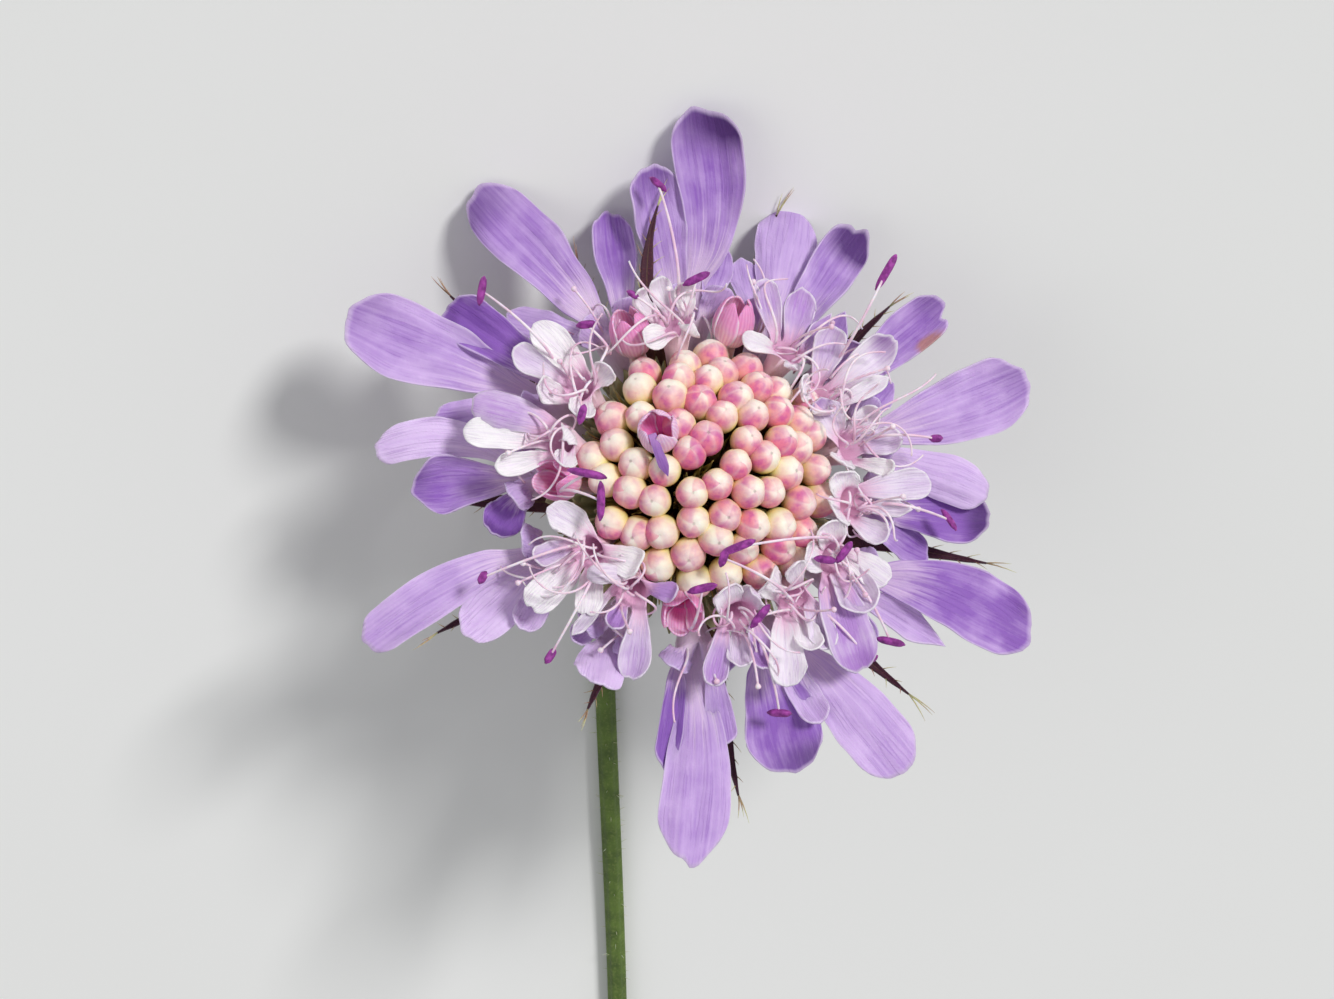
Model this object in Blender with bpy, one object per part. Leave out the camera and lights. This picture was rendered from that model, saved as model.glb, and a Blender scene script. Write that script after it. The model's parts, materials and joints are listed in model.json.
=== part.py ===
"""A scabiosa flower, picked and laid on a table.

The stem lies along -Y and curves up at its neck into the head, which leans forward on the
tips of three of its petals and looks up and ahead. Lengths in this file are in millimetres
and angles in degrees; add_mesh turns them into metres. +Z is up and the table is at z = 0.

Points of the head are in the head's own frame: z runs along its axis, out of the flower's
face, y is the side that leans down onto the table and z = 0 is level with its outermost buds.
"""

import math

import bmesh
import bpy
from mathutils import Matrix, Vector

MM = 0.001

# How the head lies.
HEAD_PLACE = Vector((0.17, 31.66, 12.61))
HEAD_TILT = 42.0

# The dome of closed buds. Their tips lie on a sphere about DOME_CENTRE, in golden-angle order,
# and the whole dome leans a little by DOME_LEAN.
DOME_CENTRE = Vector((0.0, 0.0, -5.6))
DOME_RADIUS = 8.8
DOME_EDGE = 47.7
DOME_LEAN = Vector((0.035, 0.03, 0.0))
BUD_COUNT = 63
BUD_TURN = 137.508
FIRST_BUD_TURN = 204.0
BUD_ROWS = 8
BUD_SIDES = 7
BRIDGE_RADIUS = 0.22
BRIDGE_LEVEL = 6.6

# The receptacle, a small round cushion on which every floret and bud stands.
CUSHION_RADIUS = 2.75
CUSHION_FOOT = 1.6
FOOT_GAP = 0.2

# A ray floret's tube leaves the cushion's side and opens in a throat under its lobes.
RAY_FOOT = Vector((3.1, 0.0, -5.55))
RAY_THROAT = Vector((8.4, 0.0, -2.3))
RAY_FOOT_RADIUS = 0.42
RAY_THROAT_RADIUS = 0.95

# The florets of the inner ring are smaller and stand higher.
INNER_FOOT = Vector((2.7, 0.0, -4.4))
INNER_THROAT = Vector((7.7, 0.0, -0.3))
INNER_FOOT_RADIUS = 0.32
INNER_THROAT_RADIUS = 0.7
INNER_PLACES = 16
FIRST_INNER_PLACE = 10.5
OPENING_BUD_PLACES = (3, 5, 8, 11)

PETAL_THICKNESS = 0.22
BRACT_THICKNESS = 0.3

# The stem.
STEM_RADIUS = 0.6
NECK_TOP = 7.4
STEM_TOUCHES = Vector((-1.5, 10.6, STEM_RADIUS))
STEM_RUN = Vector((-0.11, 1.0, 0.0)).normalized()
STEM_END = Vector((2.2, -45.5, STEM_RADIUS))
STEM_END_RUN = Vector((0.06, 1.0, 0.0)).normalized()
STEM_SIDES = 10
NECK_SWELL = 0.45
NECK_STEPS = 14
LYING_STEPS = 12

# The rays have not opened evenly. Their tips and those of the bracts spread about this point, a
# little off the head's axis.
TIP_CENTRE = Vector((-0.7, -0.28, 0.0))

# Each ray floret as its azimuth and its three long lobes, and each lobe as
# (azimuth, reach from TIP_CENTRE, half width, height of its tip). Azimuths run
# counter-clockwise from +X when the head is seen from in front.
RAY_FLORETS = (
    (16, ((16, 18.2, 1.75, -2.4), (-1, 15.2, 1.2, -1.8), (27, 12.0, 0.8, -3.4))),
    (38, ((35.5, 16.0, 1.2, -2.6), (47, 12.1, 0.8, -1.6), (37, 11.6, 0.9, -0.9))),
    (63, ((65, 15.9, 1.35, -3.98), (54.5, 15.9, 1.3, -3.8), (73, 12.2, 0.8, -3.9))),
    (90, ((86.5, 18.9, 1.7, -0.1), (95.5, 16.2, 1.25, -1.7), (79, 12.4, 0.8, -2.8))),
    (119, ((123, 17.8, 1.7, -3.36), (102.5, 14.3, 1.05, -3.8), (133, 12.0, 0.8, -3.8))),
    (150, ((154, 18.2, 1.85, -1.8), (142, 14.5, 1.3, -2.8), (164, 12.4, 0.9, -3.0))),
    (178, ((173.5, 15.1, 1.0, -2.3), (180, 13.2, 1.3, -3.0), (188, 11.8, 0.9, -3.4))),
    (207, ((206, 17.3, 1.3, -2.0), (214, 12.9, 1.3, -3.0), (220, 10.8, 0.8, -1.8))),
    (238, ((243, 11.4, 1.2, -1.4), (253, 10.4, 0.8, -2.2), (232, 10.6, 0.7, -2.6))),
    (267, ((268.5, 18.4, 1.75, -1.8), (277, 12.6, 0.7, -2.6), (264, 13.7, 0.6, -2.7))),
    (294, ((290, 14.5, 1.6, -3.0), (306.5, 17.3, 1.6, -2.2), (298, 13.2, 0.8, -1.9))),
    (325, ((336, 18.5, 1.9, -2.0), (328.5, 14.9, 0.8, -2.9), (318, 12.0, 0.9, -2.8))),
    (352, ((355, 15.4, 1.4, -3.3), (346, 12.6, 0.9, -3.9), (2, 12.2, 0.7, -4.0))),
)

# Each bract under the head as (azimuth, reach of its tip from TIP_CENTRE, height of its tip).
BRACTS = (
    (41, 15.0, -4.4),
    (69, 15.4, -3.75),
    (111, 12.6, -4.6),
    (137, 15.0, -4.8),
    (180, 11.5, -5.4),
    (209, 13.6, -5.0),
    (246, 11.4, -5.0),
    (280, 15.0, -4.6),
    (319, 15.1, -4.6),
    (348, 16.1, -4.6),
)
BRACT_ROOT = (CUSHION_RADIUS, -6.6)
BRACT_LEVELS = (0.0, 0.12, 0.3, 0.5, 0.7, 0.88, 1.0)
BRACT_HALF_WIDTHS = (0.55, 0.8, 0.78, 0.62, 0.42, 0.22, 0.06)

# One more dark bract stands between the florets and shows in front of the rays. These are the
# (azimuth, radius, height) of its curve's four points.
INNER_BRACT = ((105, 3.1, -5.0), (105, 6.8, -2.4), (110, 9.8, -0.2), (100, 14.0, -1.1))


def polar(azimuth, radius, height):
    turn = math.radians(azimuth)
    return Vector((radius * math.cos(turn), radius * math.sin(turn), height))


def tip_place(azimuth, reach, height, turned):
    """A tip's place in the frame of a piece that is turned about the head's axis."""
    return Matrix.Rotation(math.radians(-turned), 3, "Z") @ (polar(azimuth, reach, height) + TIP_CENTRE)


def blend(a, b, t):
    return a + (b - a) * t


def bezier(p0, p1, p2, p3, t):
    """The point at t along a cubic curve."""
    s = 1.0 - t
    return p0 * s**3 + p1 * (3 * s * s * t) + p2 * (3 * s * t * t) + p3 * t**3


def clear_scene():
    for thing in list(bpy.data.objects):
        bpy.data.objects.remove(thing)


def material(name, colour, roughness):
    made = bpy.data.materials.new(name)
    made.use_nodes = True
    shader = made.node_tree.nodes["Principled BSDF"]
    shader.inputs["Base Color"].default_value = (*colour, 1.0)
    shader.inputs["Roughness"].default_value = roughness
    shader.inputs["Metallic"].default_value = 0.0
    return made


def add_object(name, mesh, finish, parent=None, turn=0.0):
    made = bpy.data.objects.new(name, mesh)
    bpy.context.scene.collection.objects.link(made)
    mesh.materials.clear()
    mesh.materials.append(finish)
    made.parent = parent
    made.rotation_euler = (0.0, 0.0, math.radians(turn))
    return made


def add_mesh(name, points, faces):
    """A mesh from points in millimetres, with its faces turned outwards and shaded smooth."""
    mesh = bpy.data.meshes.new(name)
    mesh.from_pydata([tuple(p * MM) for p in points], [], faces)
    shape = bmesh.new()
    shape.from_mesh(mesh)
    bmesh.ops.recalc_face_normals(shape, faces=shape.faces)
    shape.to_mesh(mesh)
    shape.free()
    mesh.shade_smooth()
    mesh.set_sharp_from_angle(angle=math.radians(50))
    return mesh


def ring_faces(rings, around):
    """Quads between rings of points that each hold `around` points in order."""
    faces = []
    for level in range(rings - 1):
        for i in range(around):
            j = (i + 1) % around
            low, high = level * around, (level + 1) * around
            faces.append((low + i, low + j, high + j, high + i))
    return faces


def round_body(name, centres, radii, sides, first_side):
    """A closed body with round sections. first_side is the direction of each ring's first point."""
    points = []
    for i, centre in enumerate(centres):
        ahead = centres[min(i + 1, len(centres) - 1)] - centres[max(i - 1, 0)]
        across = ahead.cross(first_side).normalized()
        first = across.cross(ahead).normalized()
        for k in range(sides):
            turn = 2 * math.pi * k / sides
            points.append(centre + (first * math.cos(turn) + across * math.sin(turn)) * radii[i])
    faces = ring_faces(len(centres), sides)
    faces.append(tuple(range(sides)))
    faces.append(tuple(range(len(points) - sides, len(points))))
    return add_mesh(name, points, faces)


def united(name, meshes):
    """One closed mesh: the Boolean union of closed meshes that overlap in a chain."""
    things = [bpy.data.objects.new(name, mesh) for mesh in meshes]
    for thing in things:
        bpy.context.scene.collection.objects.link(thing)
    for other in things[1:]:
        step = things[0].modifiers.new("Join", "BOOLEAN")
        step.operation = "UNION"
        step.solver = "EXACT"
        step.object = other
    evaluated = things[0].evaluated_get(bpy.context.evaluated_depsgraph_get())
    made = bpy.data.meshes.new_from_object(evaluated)
    for thing in things:
        bpy.data.objects.remove(thing)
    made.name = name
    made.shade_smooth()
    made.set_sharp_from_angle(angle=math.radians(50))
    return made


def make_head():
    """The empty that carries every piece of the head."""
    head = bpy.data.objects.new("head", None)
    bpy.context.scene.collection.objects.link(head)
    head.location = HEAD_PLACE * MM
    head.rotation_euler = (math.radians(-HEAD_TILT), 0.0, 0.0)
    return head


def make_stem(finish):
    """Down from under the cushion, round the neck, and out along the table."""
    tilt = Matrix.Rotation(math.radians(-HEAD_TILT), 3, "X")
    axis = tilt @ Vector((0.0, 0.0, 1.0))
    top = HEAD_PLACE - axis * NECK_TOP
    bend = (top - STEM_TOUCHES).length * 0.4
    stretch = (STEM_TOUCHES - STEM_END).length / 3
    neck = (top, top - axis * bend, STEM_TOUCHES + STEM_RUN * bend, STEM_TOUCHES)
    lying = (STEM_TOUCHES, STEM_TOUCHES - STEM_RUN * stretch, STEM_END + STEM_END_RUN * stretch, STEM_END)
    centres = [bezier(*neck, i / NECK_STEPS) for i in range(NECK_STEPS)]
    centres += [bezier(*lying, i / LYING_STEPS) for i in range(LYING_STEPS + 1)]
    radii = [STEM_RADIUS * (1.0 + NECK_SWELL * max(0.0, 1.0 - i / 3) ** 2) for i in range(len(centres))]
    mesh = round_body("stem", centres, radii, STEM_SIDES, Vector((0.0, 0.0, -1.0)))
    add_object("stem", mesh, finish)


def make_receptacle(finish, head):
    """A half ball on a short tapering foot."""
    steps = 6
    outline = []
    for i in range(steps):
        turn = math.radians(90 * (1 - (i + 0.35) / (steps - 0.65)))
        outline.append((CUSHION_RADIUS * math.cos(turn), CUSHION_RADIUS * math.sin(turn)))
    outline.append((CUSHION_RADIUS * 0.9, -0.75))
    outline.append((CUSHION_RADIUS * 0.42, -CUSHION_FOOT))
    centres = [DOME_CENTRE + Vector((0.0, 0.0, height)) for _, height in outline]
    radii = [radius for radius, _ in outline]
    mesh = round_body("receptacle", centres, radii, 16, Vector((1.0, 0.0, 0.0)))
    add_object("receptacle", mesh, finish, head)


def bud_direction(number):
    """Unit vector from the dome's centre to a bud's tip; equal areas, golden-angle turns."""
    share = (number - 0.5) / BUD_COUNT
    rise = 1.0 - share * (1.0 - math.cos(math.radians(DOME_EDGE)))
    turn = number * BUD_TURN + FIRST_BUD_TURN
    return (polar(turn, math.sqrt(1.0 - rise * rise), rise) + DOME_LEAN).normalized()


def bud_mesh(number):
    """A closed bud on its narrow foot."""
    out = bud_direction(number)
    outline = ((CUSHION_RADIUS + FOOT_GAP, 0.2), (6.2, 0.42), (7.5, 0.63), (8.2, 0.68), (8.8, 0.25))
    centres = [DOME_CENTRE + out * level for level, _ in outline]
    radii = [radius for _, radius in outline]
    return round_body(f"bud_{number}", centres, radii, BUD_SIDES, Vector((1.0, 0.0, 0.0)))


def make_bud_row(first, finish, head):
    """Every eighth bud: one spiral row, joined just under the buds' heads."""
    numbers = range(first, BUD_COUNT + 1, BUD_ROWS)
    meshes = []
    for number in numbers:
        meshes.append(bud_mesh(number))
        if number + BUD_ROWS <= BUD_COUNT:
            ends = [DOME_CENTRE + bud_direction(n) * BRIDGE_LEVEL for n in (number, number + BUD_ROWS)]
            radii = [BRIDGE_RADIUS, BRIDGE_RADIUS]
            meshes.append(round_body("bridge", ends, radii, 5, DOME_CENTRE - ends[0]))
    name = f"bud_row_{first}"
    add_object(name, united(name, meshes), finish, head)


def lobe_outline(t):
    """Half width of a lobe along its length as a share of its widest: a claw, a blade, a round end."""
    waist, widest, blunt = 0.42, 0.68, 0.4
    if t < widest:
        return waist + (1.0 - waist) * math.sin(math.pi / 2 * t / widest) ** 1.6
    return math.sqrt(1.0 - (1.0 - blunt**2) * ((t - widest) / (1.0 - widest)) ** 2)


def lobe_points(arc, tip, half_width, levels, rise=25.0, cup=0.12):
    """Rows of points from the throat's arc to the tip, along a curve that leaves the throat rising."""
    start = sum(arc, Vector()) / len(arc)
    flat = Vector((tip.x - start.x, tip.y - start.y, 0.0))
    out = flat.normalized()
    side = Vector((-out.y, out.x, 0.0))
    if (arc[-1] - arc[0]).dot(side) < 0:
        side = -side
    lead = (tip - start).length / 3
    climb = math.radians(rise)
    p1 = start + (out * math.cos(climb) + Vector((0.0, 0.0, math.sin(climb)))) * lead
    p2 = blend(tip, p1, 0.45)
    rows = []
    for level in levels:
        centre = bezier(start, p1, p2, tip, level)
        width = half_width * lobe_outline(level)
        row = []
        for k in range(len(arc)):
            across = 2.0 * k / (len(arc) - 1) - 1.0
            row.append(centre + side * width * across + Vector((0.0, 0.0, cup * width * across**2)))
        rows.append(row)
    return rows


def rim_direction(foot, throat, angle):
    """From a tube's axis to its wall; 0 degrees is the tube's outer, lower side."""
    along = (throat - foot).normalized()
    outer = Vector((along.z, 0.0, -along.x))
    turn = math.radians(angle)
    return outer * math.cos(turn) + Vector((0.0, 1.0, 0.0)) * math.sin(turn)


def short_tip(foot, throat, radius, angle, length):
    """Where a short inner lobe ends: on up along the tube and a little outwards."""
    along = (throat - foot).normalized()
    return throat + rim_direction(foot, throat, angle) * (radius + 0.45 * length) + along * length


def floret_mesh(name, foot, throat, radii, lobes):
    """A tube that ends in a throat, and round the throat the lobes.

    Each lobe is (segments of the ring, degrees of the ring, tip, half width, levels), in order
    round the throat from its inner side.
    """
    angles = [-180.0]
    for segments, span, *_ in lobes:
        start = angles[-1]
        angles += [start + span * (i + 1) / segments for i in range(segments)]
    around = len(angles) - 1
    points = []
    for level, radius in radii:
        for angle in angles[:-1]:
            points.append(blend(foot, throat, level) + rim_direction(foot, throat, angle) * radius)
    faces = ring_faces(len(radii), around)
    faces.append(tuple(range(around)))
    ring = [len(points) - around + i for i in range(around)]
    ring.append(ring[0])
    first = 0
    for segments, _, tip, half_width, levels in lobes:
        last_row = ring[first : first + segments + 1]
        arc = [points[i] for i in last_row]
        for row in lobe_points(arc, tip, half_width, levels):
            new_row = list(range(len(points), len(points) + len(row)))
            points += row
            for k in range(segments):
                faces.append((last_row[k], last_row[k + 1], new_row[k + 1], new_row[k]))
            last_row = new_row
        first += segments
    return add_mesh(name, points, faces)


def give_thickness(thing, thickness):
    shell = thing.modifiers.new("Thickness", "SOLIDIFY")
    shell.thickness = thickness * MM
    shell.offset = 0.0


LONG_LEVELS = (0.18, 0.42, 0.68, 0.87, 1.0)
MIDDLE_LEVELS = (0.35, 0.7, 1.0)
SHORT_LEVELS = (0.55, 1.0)


def make_ray_floret(number, finish, head):
    """A ray floret: three long lobes and, on the inner side of its throat, two short ones."""
    azimuth, long_lobes = RAY_FLORETS[number - 1]
    tips = []
    for lobe_azimuth, reach, half_width, height in long_lobes:
        turn = (lobe_azimuth - azimuth + 180) % 360 - 180
        tips.append((turn, tip_place(lobe_azimuth, reach, height, azimuth), half_width))
    tips.sort(key=lambda lobe: lobe[0])
    ends = [short_tip(RAY_FOOT, RAY_THROAT, RAY_THROAT_RADIUS, angle, 0.8) for angle in (-134, 134)]
    lobes = [(2, 92, ends[0], 0.45, SHORT_LEVELS)]
    for span, (_, tip, half_width) in zip((56, 64, 56), tips):
        lobes.append((3, span, tip, half_width, LONG_LEVELS))
    lobes.append((2, 92, ends[1], 0.45, SHORT_LEVELS))
    radii = ((0.0, RAY_FOOT_RADIUS), (0.6, 0.6), (1.0, RAY_THROAT_RADIUS))
    name = f"ray_floret_{number}"
    thing = add_object(name, floret_mesh(name, RAY_FOOT, RAY_THROAT, radii, lobes), finish, head, azimuth)
    give_thickness(thing, PETAL_THICKNESS)


def make_inner_floret(number, azimuth, finish, head):
    """A smaller floret, its lobes a little longer and higher on some than on others."""
    stretch = 0.25 * math.sin(number * 2.4)
    ends = [short_tip(INNER_FOOT, INNER_THROAT, INNER_THROAT_RADIUS, angle, 1.1) for angle in (-140, 140)]
    lobes = [(2, 80, ends[0], 0.42, SHORT_LEVELS)]
    for turn, reach, half_width in ((-8, 10.0, 0.5), (0, 11.2, 0.7), (8, 10.0, 0.5)):
        tip = polar(turn, reach + 2 * stretch, 0.45 + stretch)
        lobes.append((2, 200 / 3, tip, half_width, MIDDLE_LEVELS))
    lobes.append((2, 80, ends[1], 0.42, SHORT_LEVELS))
    radii = ((0.0, INNER_FOOT_RADIUS), (0.6, 0.44), (1.0, INNER_THROAT_RADIUS))
    name = f"inner_floret_{number}"
    mesh = floret_mesh(name, INNER_FOOT, INNER_THROAT, radii, lobes)
    thing = add_object(name, mesh, finish, head, azimuth)
    give_thickness(thing, PETAL_THICKNESS)


def make_opening_bud(number, azimuth, finish, head):
    """A fat bud in the inner ring, about to open."""
    outline = ((0.0, 0.3), (0.62, 0.42), (0.84, 0.8), (1.0, 0.95), (1.16, 0.75), (1.24, 0.3))
    centres = [blend(INNER_FOOT, INNER_THROAT, level) for level, _ in outline]
    radii = [radius for _, radius in outline]
    name = f"opening_bud_{number}"
    mesh = round_body(name, centres, radii, 10, Vector((0.0, 1.0, 0.0)))
    add_object(name, mesh, finish, head, azimuth)


def make_bract(name, curve, finish, head, azimuth=0.0):
    """A narrow pointed leaf along a curve, a little folded up along its middle."""
    side = (curve[3] - curve[0]).cross(Vector((0.0, 0.0, 1.0))).normalized()
    points = []
    for level, half_width in zip(BRACT_LEVELS, BRACT_HALF_WIDTHS):
        centre = bezier(*curve, level)
        for across in (-1.0, 0.0, 1.0):
            lift = Vector((0.0, 0.0, 0.25 * half_width * across**2))
            points.append(centre + side * half_width * across + lift)
    faces = []
    for i in range(len(BRACT_LEVELS) - 1):
        for k in range(2):
            a = 3 * i + k
            faces.append((a, a + 1, a + 4, a + 3))
    thing = add_object(name, add_mesh(name, points, faces), finish, head, azimuth)
    give_thickness(thing, BRACT_THICKNESS)


def make_lower_bract(number, finish, head):
    """A bract of the ring under the florets, sagging between its root and its tip."""
    azimuth, reach, height = BRACTS[number - 1]
    root = Vector((BRACT_ROOT[0], 0.0, BRACT_ROOT[1]))
    tip = tip_place(azimuth, reach, height, azimuth)
    sag = Vector((0.0, 0.0, -0.7))
    curve = (root, blend(root, tip, 0.33) + sag, blend(root, tip, 0.67) + sag, tip)
    make_bract(f"bract_{number}", curve, finish, head, azimuth)


def build():
    clear_scene()
    green = material("stem_green", (0.10, 0.17, 0.06), 0.6)
    cushion = material("cushion_green", (0.25, 0.32, 0.12), 0.7)
    lilac = material("ray_lilac", (0.45, 0.32, 0.72), 0.55)
    pale = material("inner_pink", (0.80, 0.62, 0.80), 0.55)
    cream = material("bud_cream", (0.85, 0.62, 0.58), 0.5)
    magenta = material("opening_pink", (0.70, 0.25, 0.50), 0.5)
    dark = material("bract_purple", (0.08, 0.02, 0.05), 0.65)

    make_stem(green)
    head = make_head()
    make_receptacle(cushion, head)
    for number in range(1, BUD_ROWS + 1):
        make_bud_row(number, cream, head)
    for number in range(1, len(RAY_FLORETS) + 1):
        make_ray_floret(number, lilac, head)
    florets = opening = 0
    for place in range(INNER_PLACES):
        azimuth = FIRST_INNER_PLACE + 360 * place / INNER_PLACES
        if place in OPENING_BUD_PLACES:
            opening += 1
            make_opening_bud(opening, azimuth, magenta, head)
        else:
            florets += 1
            make_inner_floret(florets, azimuth, pale, head)
    for number in range(1, len(BRACTS) + 1):
        make_lower_bract(number, dark, head)
    make_bract("inner_bract", [polar(*point) for point in INNER_BRACT], dark, head)


build()
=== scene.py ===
# %% [markdown]
# # A scabiosa flower
#
# What looks like one flower is a whole head of them. Small flowers, called florets, stand on a
# round cushion at the top of the stem. The outer ones have opened into long lilac lobes, the
# ones inside them are paler and cup-shaped, and the middle is still a dome of closed buds.
# Dark narrow bracts show between the rays from below. The flower has been picked and laid down,
# so its stem runs along the table and the head leans on the tips of its lowest petals.
#
# The collision model is loaded first and is never changed. Every piece below is a finer copy
# of one of its nodes, or a small part that grows on one.

import json
import math
import random
from typing import NamedTuple

import bpy
from mathutils import Matrix, Vector, noise

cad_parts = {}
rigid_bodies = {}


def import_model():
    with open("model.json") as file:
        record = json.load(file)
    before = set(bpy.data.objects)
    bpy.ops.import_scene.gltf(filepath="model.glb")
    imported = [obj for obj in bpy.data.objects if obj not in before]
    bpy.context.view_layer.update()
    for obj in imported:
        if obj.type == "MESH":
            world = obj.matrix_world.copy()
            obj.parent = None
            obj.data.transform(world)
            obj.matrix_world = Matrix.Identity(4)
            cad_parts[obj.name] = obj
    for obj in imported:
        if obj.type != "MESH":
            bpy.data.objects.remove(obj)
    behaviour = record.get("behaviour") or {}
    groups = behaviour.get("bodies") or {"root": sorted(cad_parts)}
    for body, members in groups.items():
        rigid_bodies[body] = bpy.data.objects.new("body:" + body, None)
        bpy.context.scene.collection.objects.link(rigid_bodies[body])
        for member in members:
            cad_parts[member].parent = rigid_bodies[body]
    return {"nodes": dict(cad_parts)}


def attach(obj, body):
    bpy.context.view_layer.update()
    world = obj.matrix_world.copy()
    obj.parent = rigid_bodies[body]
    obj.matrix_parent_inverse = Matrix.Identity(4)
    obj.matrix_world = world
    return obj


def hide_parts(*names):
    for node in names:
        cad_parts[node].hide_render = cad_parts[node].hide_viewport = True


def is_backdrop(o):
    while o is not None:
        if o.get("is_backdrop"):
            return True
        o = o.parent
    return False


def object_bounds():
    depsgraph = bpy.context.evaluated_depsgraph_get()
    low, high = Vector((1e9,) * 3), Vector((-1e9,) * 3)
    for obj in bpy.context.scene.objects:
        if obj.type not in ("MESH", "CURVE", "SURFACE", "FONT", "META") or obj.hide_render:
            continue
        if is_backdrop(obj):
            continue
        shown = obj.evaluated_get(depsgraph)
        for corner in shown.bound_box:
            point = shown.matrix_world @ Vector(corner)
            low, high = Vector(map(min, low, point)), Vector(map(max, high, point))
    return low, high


for thing in list(bpy.data.objects):
    bpy.data.objects.remove(thing)
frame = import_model()
cad_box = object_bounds()
MM = 0.001
print("pieces to stand for:", len(frame["nodes"]))

# %% [markdown]
# ## Where the head is
#
# Lengths are in millimetres and angles in degrees until a mesh is made. A point of the head is
# given in the head's own frame: z runs along its axis out of the flower's face, y is the side
# that leans down onto the table, and z = 0 is level with the outermost buds. One matrix takes
# such a point to its place in the world, which is much easier than working out tilted points.
# The rays have not opened evenly, so what spreads wide is placed about `TIP_CENTRE`, a point a
# little off the axis, with `spread`.

# %% The head's frame
HEAD_PLACE = Vector((0.17, 31.66, 12.61))
HEAD_TILT = 42.0
HEAD = Matrix.Translation(HEAD_PLACE) @ Matrix.Rotation(math.radians(-HEAD_TILT), 4, "X")
UP = Vector((0.0, 0.0, 1.0))


def turned(azimuth):
    """The head's frame turned about its axis, for a floret that is drawn along +X."""
    return HEAD @ Matrix.Rotation(math.radians(azimuth), 4, "Z")


def polar(azimuth, radius, height):
    turn = math.radians(azimuth)
    return Vector((radius * math.cos(turn), radius * math.sin(turn), height))


TIP_CENTRE = Vector((-0.7, -0.28, 0.0))


def spread(azimuth, reach, height, floret=0.0):
    """A tip's place about TIP_CENTRE, in the frame of a floret drawn along +X."""
    back = Matrix.Rotation(math.radians(-floret), 3, "Z")
    return back @ (polar(azimuth, reach, height) + TIP_CENTRE)


def around(across, ahead, turn):
    """The direction that lies turn radians from across, towards ahead."""
    return across * math.cos(turn) + ahead * math.sin(turn)


def smooth(t):
    """0 below 0, 1 above 1, and an S curve between."""
    t = min(1.0, max(0.0, t))
    return t * t * (3.0 - 2.0 * t)


def bezier(p0, p1, p2, p3, t):
    s = 1.0 - t
    return p0 * s**3 + p1 * (3 * s * s * t) + p2 * (3 * s * t * t) + p3 * t**3


def bezier_slope(p0, p1, p2, p3, t):
    s = 1.0 - t
    return (p1 - p0) * (3 * s * s) + (p2 - p1) * (6 * s * t) + (p3 - p2) * (3 * t * t)


print("tilt of the head:", HEAD_TILT, "degrees, height:", round(HEAD_PLACE.z, 1), "mm")

# %% [markdown]
# ## Gathering a mesh
#
# Petals, buds and threads are all rows of points joined by quads. Bent and cut cubes or spheres
# could make some of them, but rows of points put each margin just where it belongs. `Shape`
# collects them, along with named numbers at each point, such as how far along a petal it lies.
# Blender keeps those numbers as attributes, and a material reads them with an Attribute node, so
# a vein or a blush follows the petal however it bends. `skin` joins the rows, and `make_piece`
# turns a shape into an object and hides the node of the collision model that it stands for.

# %% Shape
class Shape:
    def __init__(self, place, *marks):
        self.place = place
        self.points = []
        self.faces = []
        self.face_finishes = []
        self.finish = 0
        self.marks = {mark: [] for mark in marks}

    def point(self, place, *values):
        self.points.append(place)
        for mark, value in zip(self.marks, values):
            self.marks[mark].append(value)
        return len(self.points) - 1

    def face(self, *corners):
        self.faces.append(corners)
        self.face_finishes.append(self.finish)

    def skin(self, rows, closed=True, base=True, lid=False):
        """Quads from each row of point numbers to the next, and faces that close its two ends."""
        count = len(rows[0])
        if base:
            self.face(*reversed(rows[0]))
        for low, high in zip(rows, rows[1:]):
            for i in range(count if closed else count - 1):
                j = (i + 1) % count
                self.face(low[i], low[j], high[j], high[i])
        if lid:
            self.face(*rows[-1])

    def tube(self, centres, radii, sides, *values, section=None):
        """A closed round body along centres. section(turn) scales its radius round each ring."""
        side = (centres[1] - centres[0]).orthogonal().normalized()
        rings = []
        for i, centre in enumerate(centres):
            ahead = (centres[min(i + 1, len(centres) - 1)] - centres[max(i - 1, 0)]).normalized()
            side = (side - ahead * side.dot(ahead)).normalized()
            up = ahead.cross(side)
            ring = []
            for k in range(sides):
                turn = 2 * math.pi * k / sides
                radius = radii[i] * (section(turn) if section else 1.0)
                ring.append(self.point(centre + around(side, up, turn) * radius, *values))
            rings.append(ring)
        self.skin(rings, lid=True)

# %% The piece made from a shape
def add_object(name, data):
    made = bpy.data.objects.new(name, data)
    bpy.context.scene.collection.objects.link(made)
    return made


def make_piece(name, shape, finishes, stands_for=(), thickness=0.0):
    """The object made from a shape. With a thickness, its inner side takes the next finish."""
    mesh = bpy.data.meshes.new(name)
    mesh.from_pydata([tuple(shape.place @ p * MM) for p in shape.points], [], shape.faces)
    for mark, values in shape.marks.items():
        mesh.attributes.new(mark, "FLOAT", "POINT").data.foreach_set("value", values)
    for finish in finishes:
        mesh.materials.append(finish.material)
    mesh.polygons.foreach_set("material_index", shape.face_finishes)
    mesh.shade_smooth()
    made = add_object(name, mesh)
    if thickness:
        shell = made.modifiers.new("Thickness", "SOLIDIFY")
        shell.thickness = thickness * MM
        shell.offset = 0.0
        shell.material_offset = len(finishes) - 1
        shell.material_offset_rim = len(finishes) - 1
    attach(made, "root")
    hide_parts(*stands_for)


# %% [markdown]
# ## Writing shaders as sums
#
# A material is a small graph of nodes. Wiring each Math node by hand hides what it works out, so
# `Value` wraps a socket and lets Python's own operators add the nodes: `1 - mask * 0.5` makes
# two. `Finish` holds one material, and its `node` method adds a node of any kind.

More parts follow.
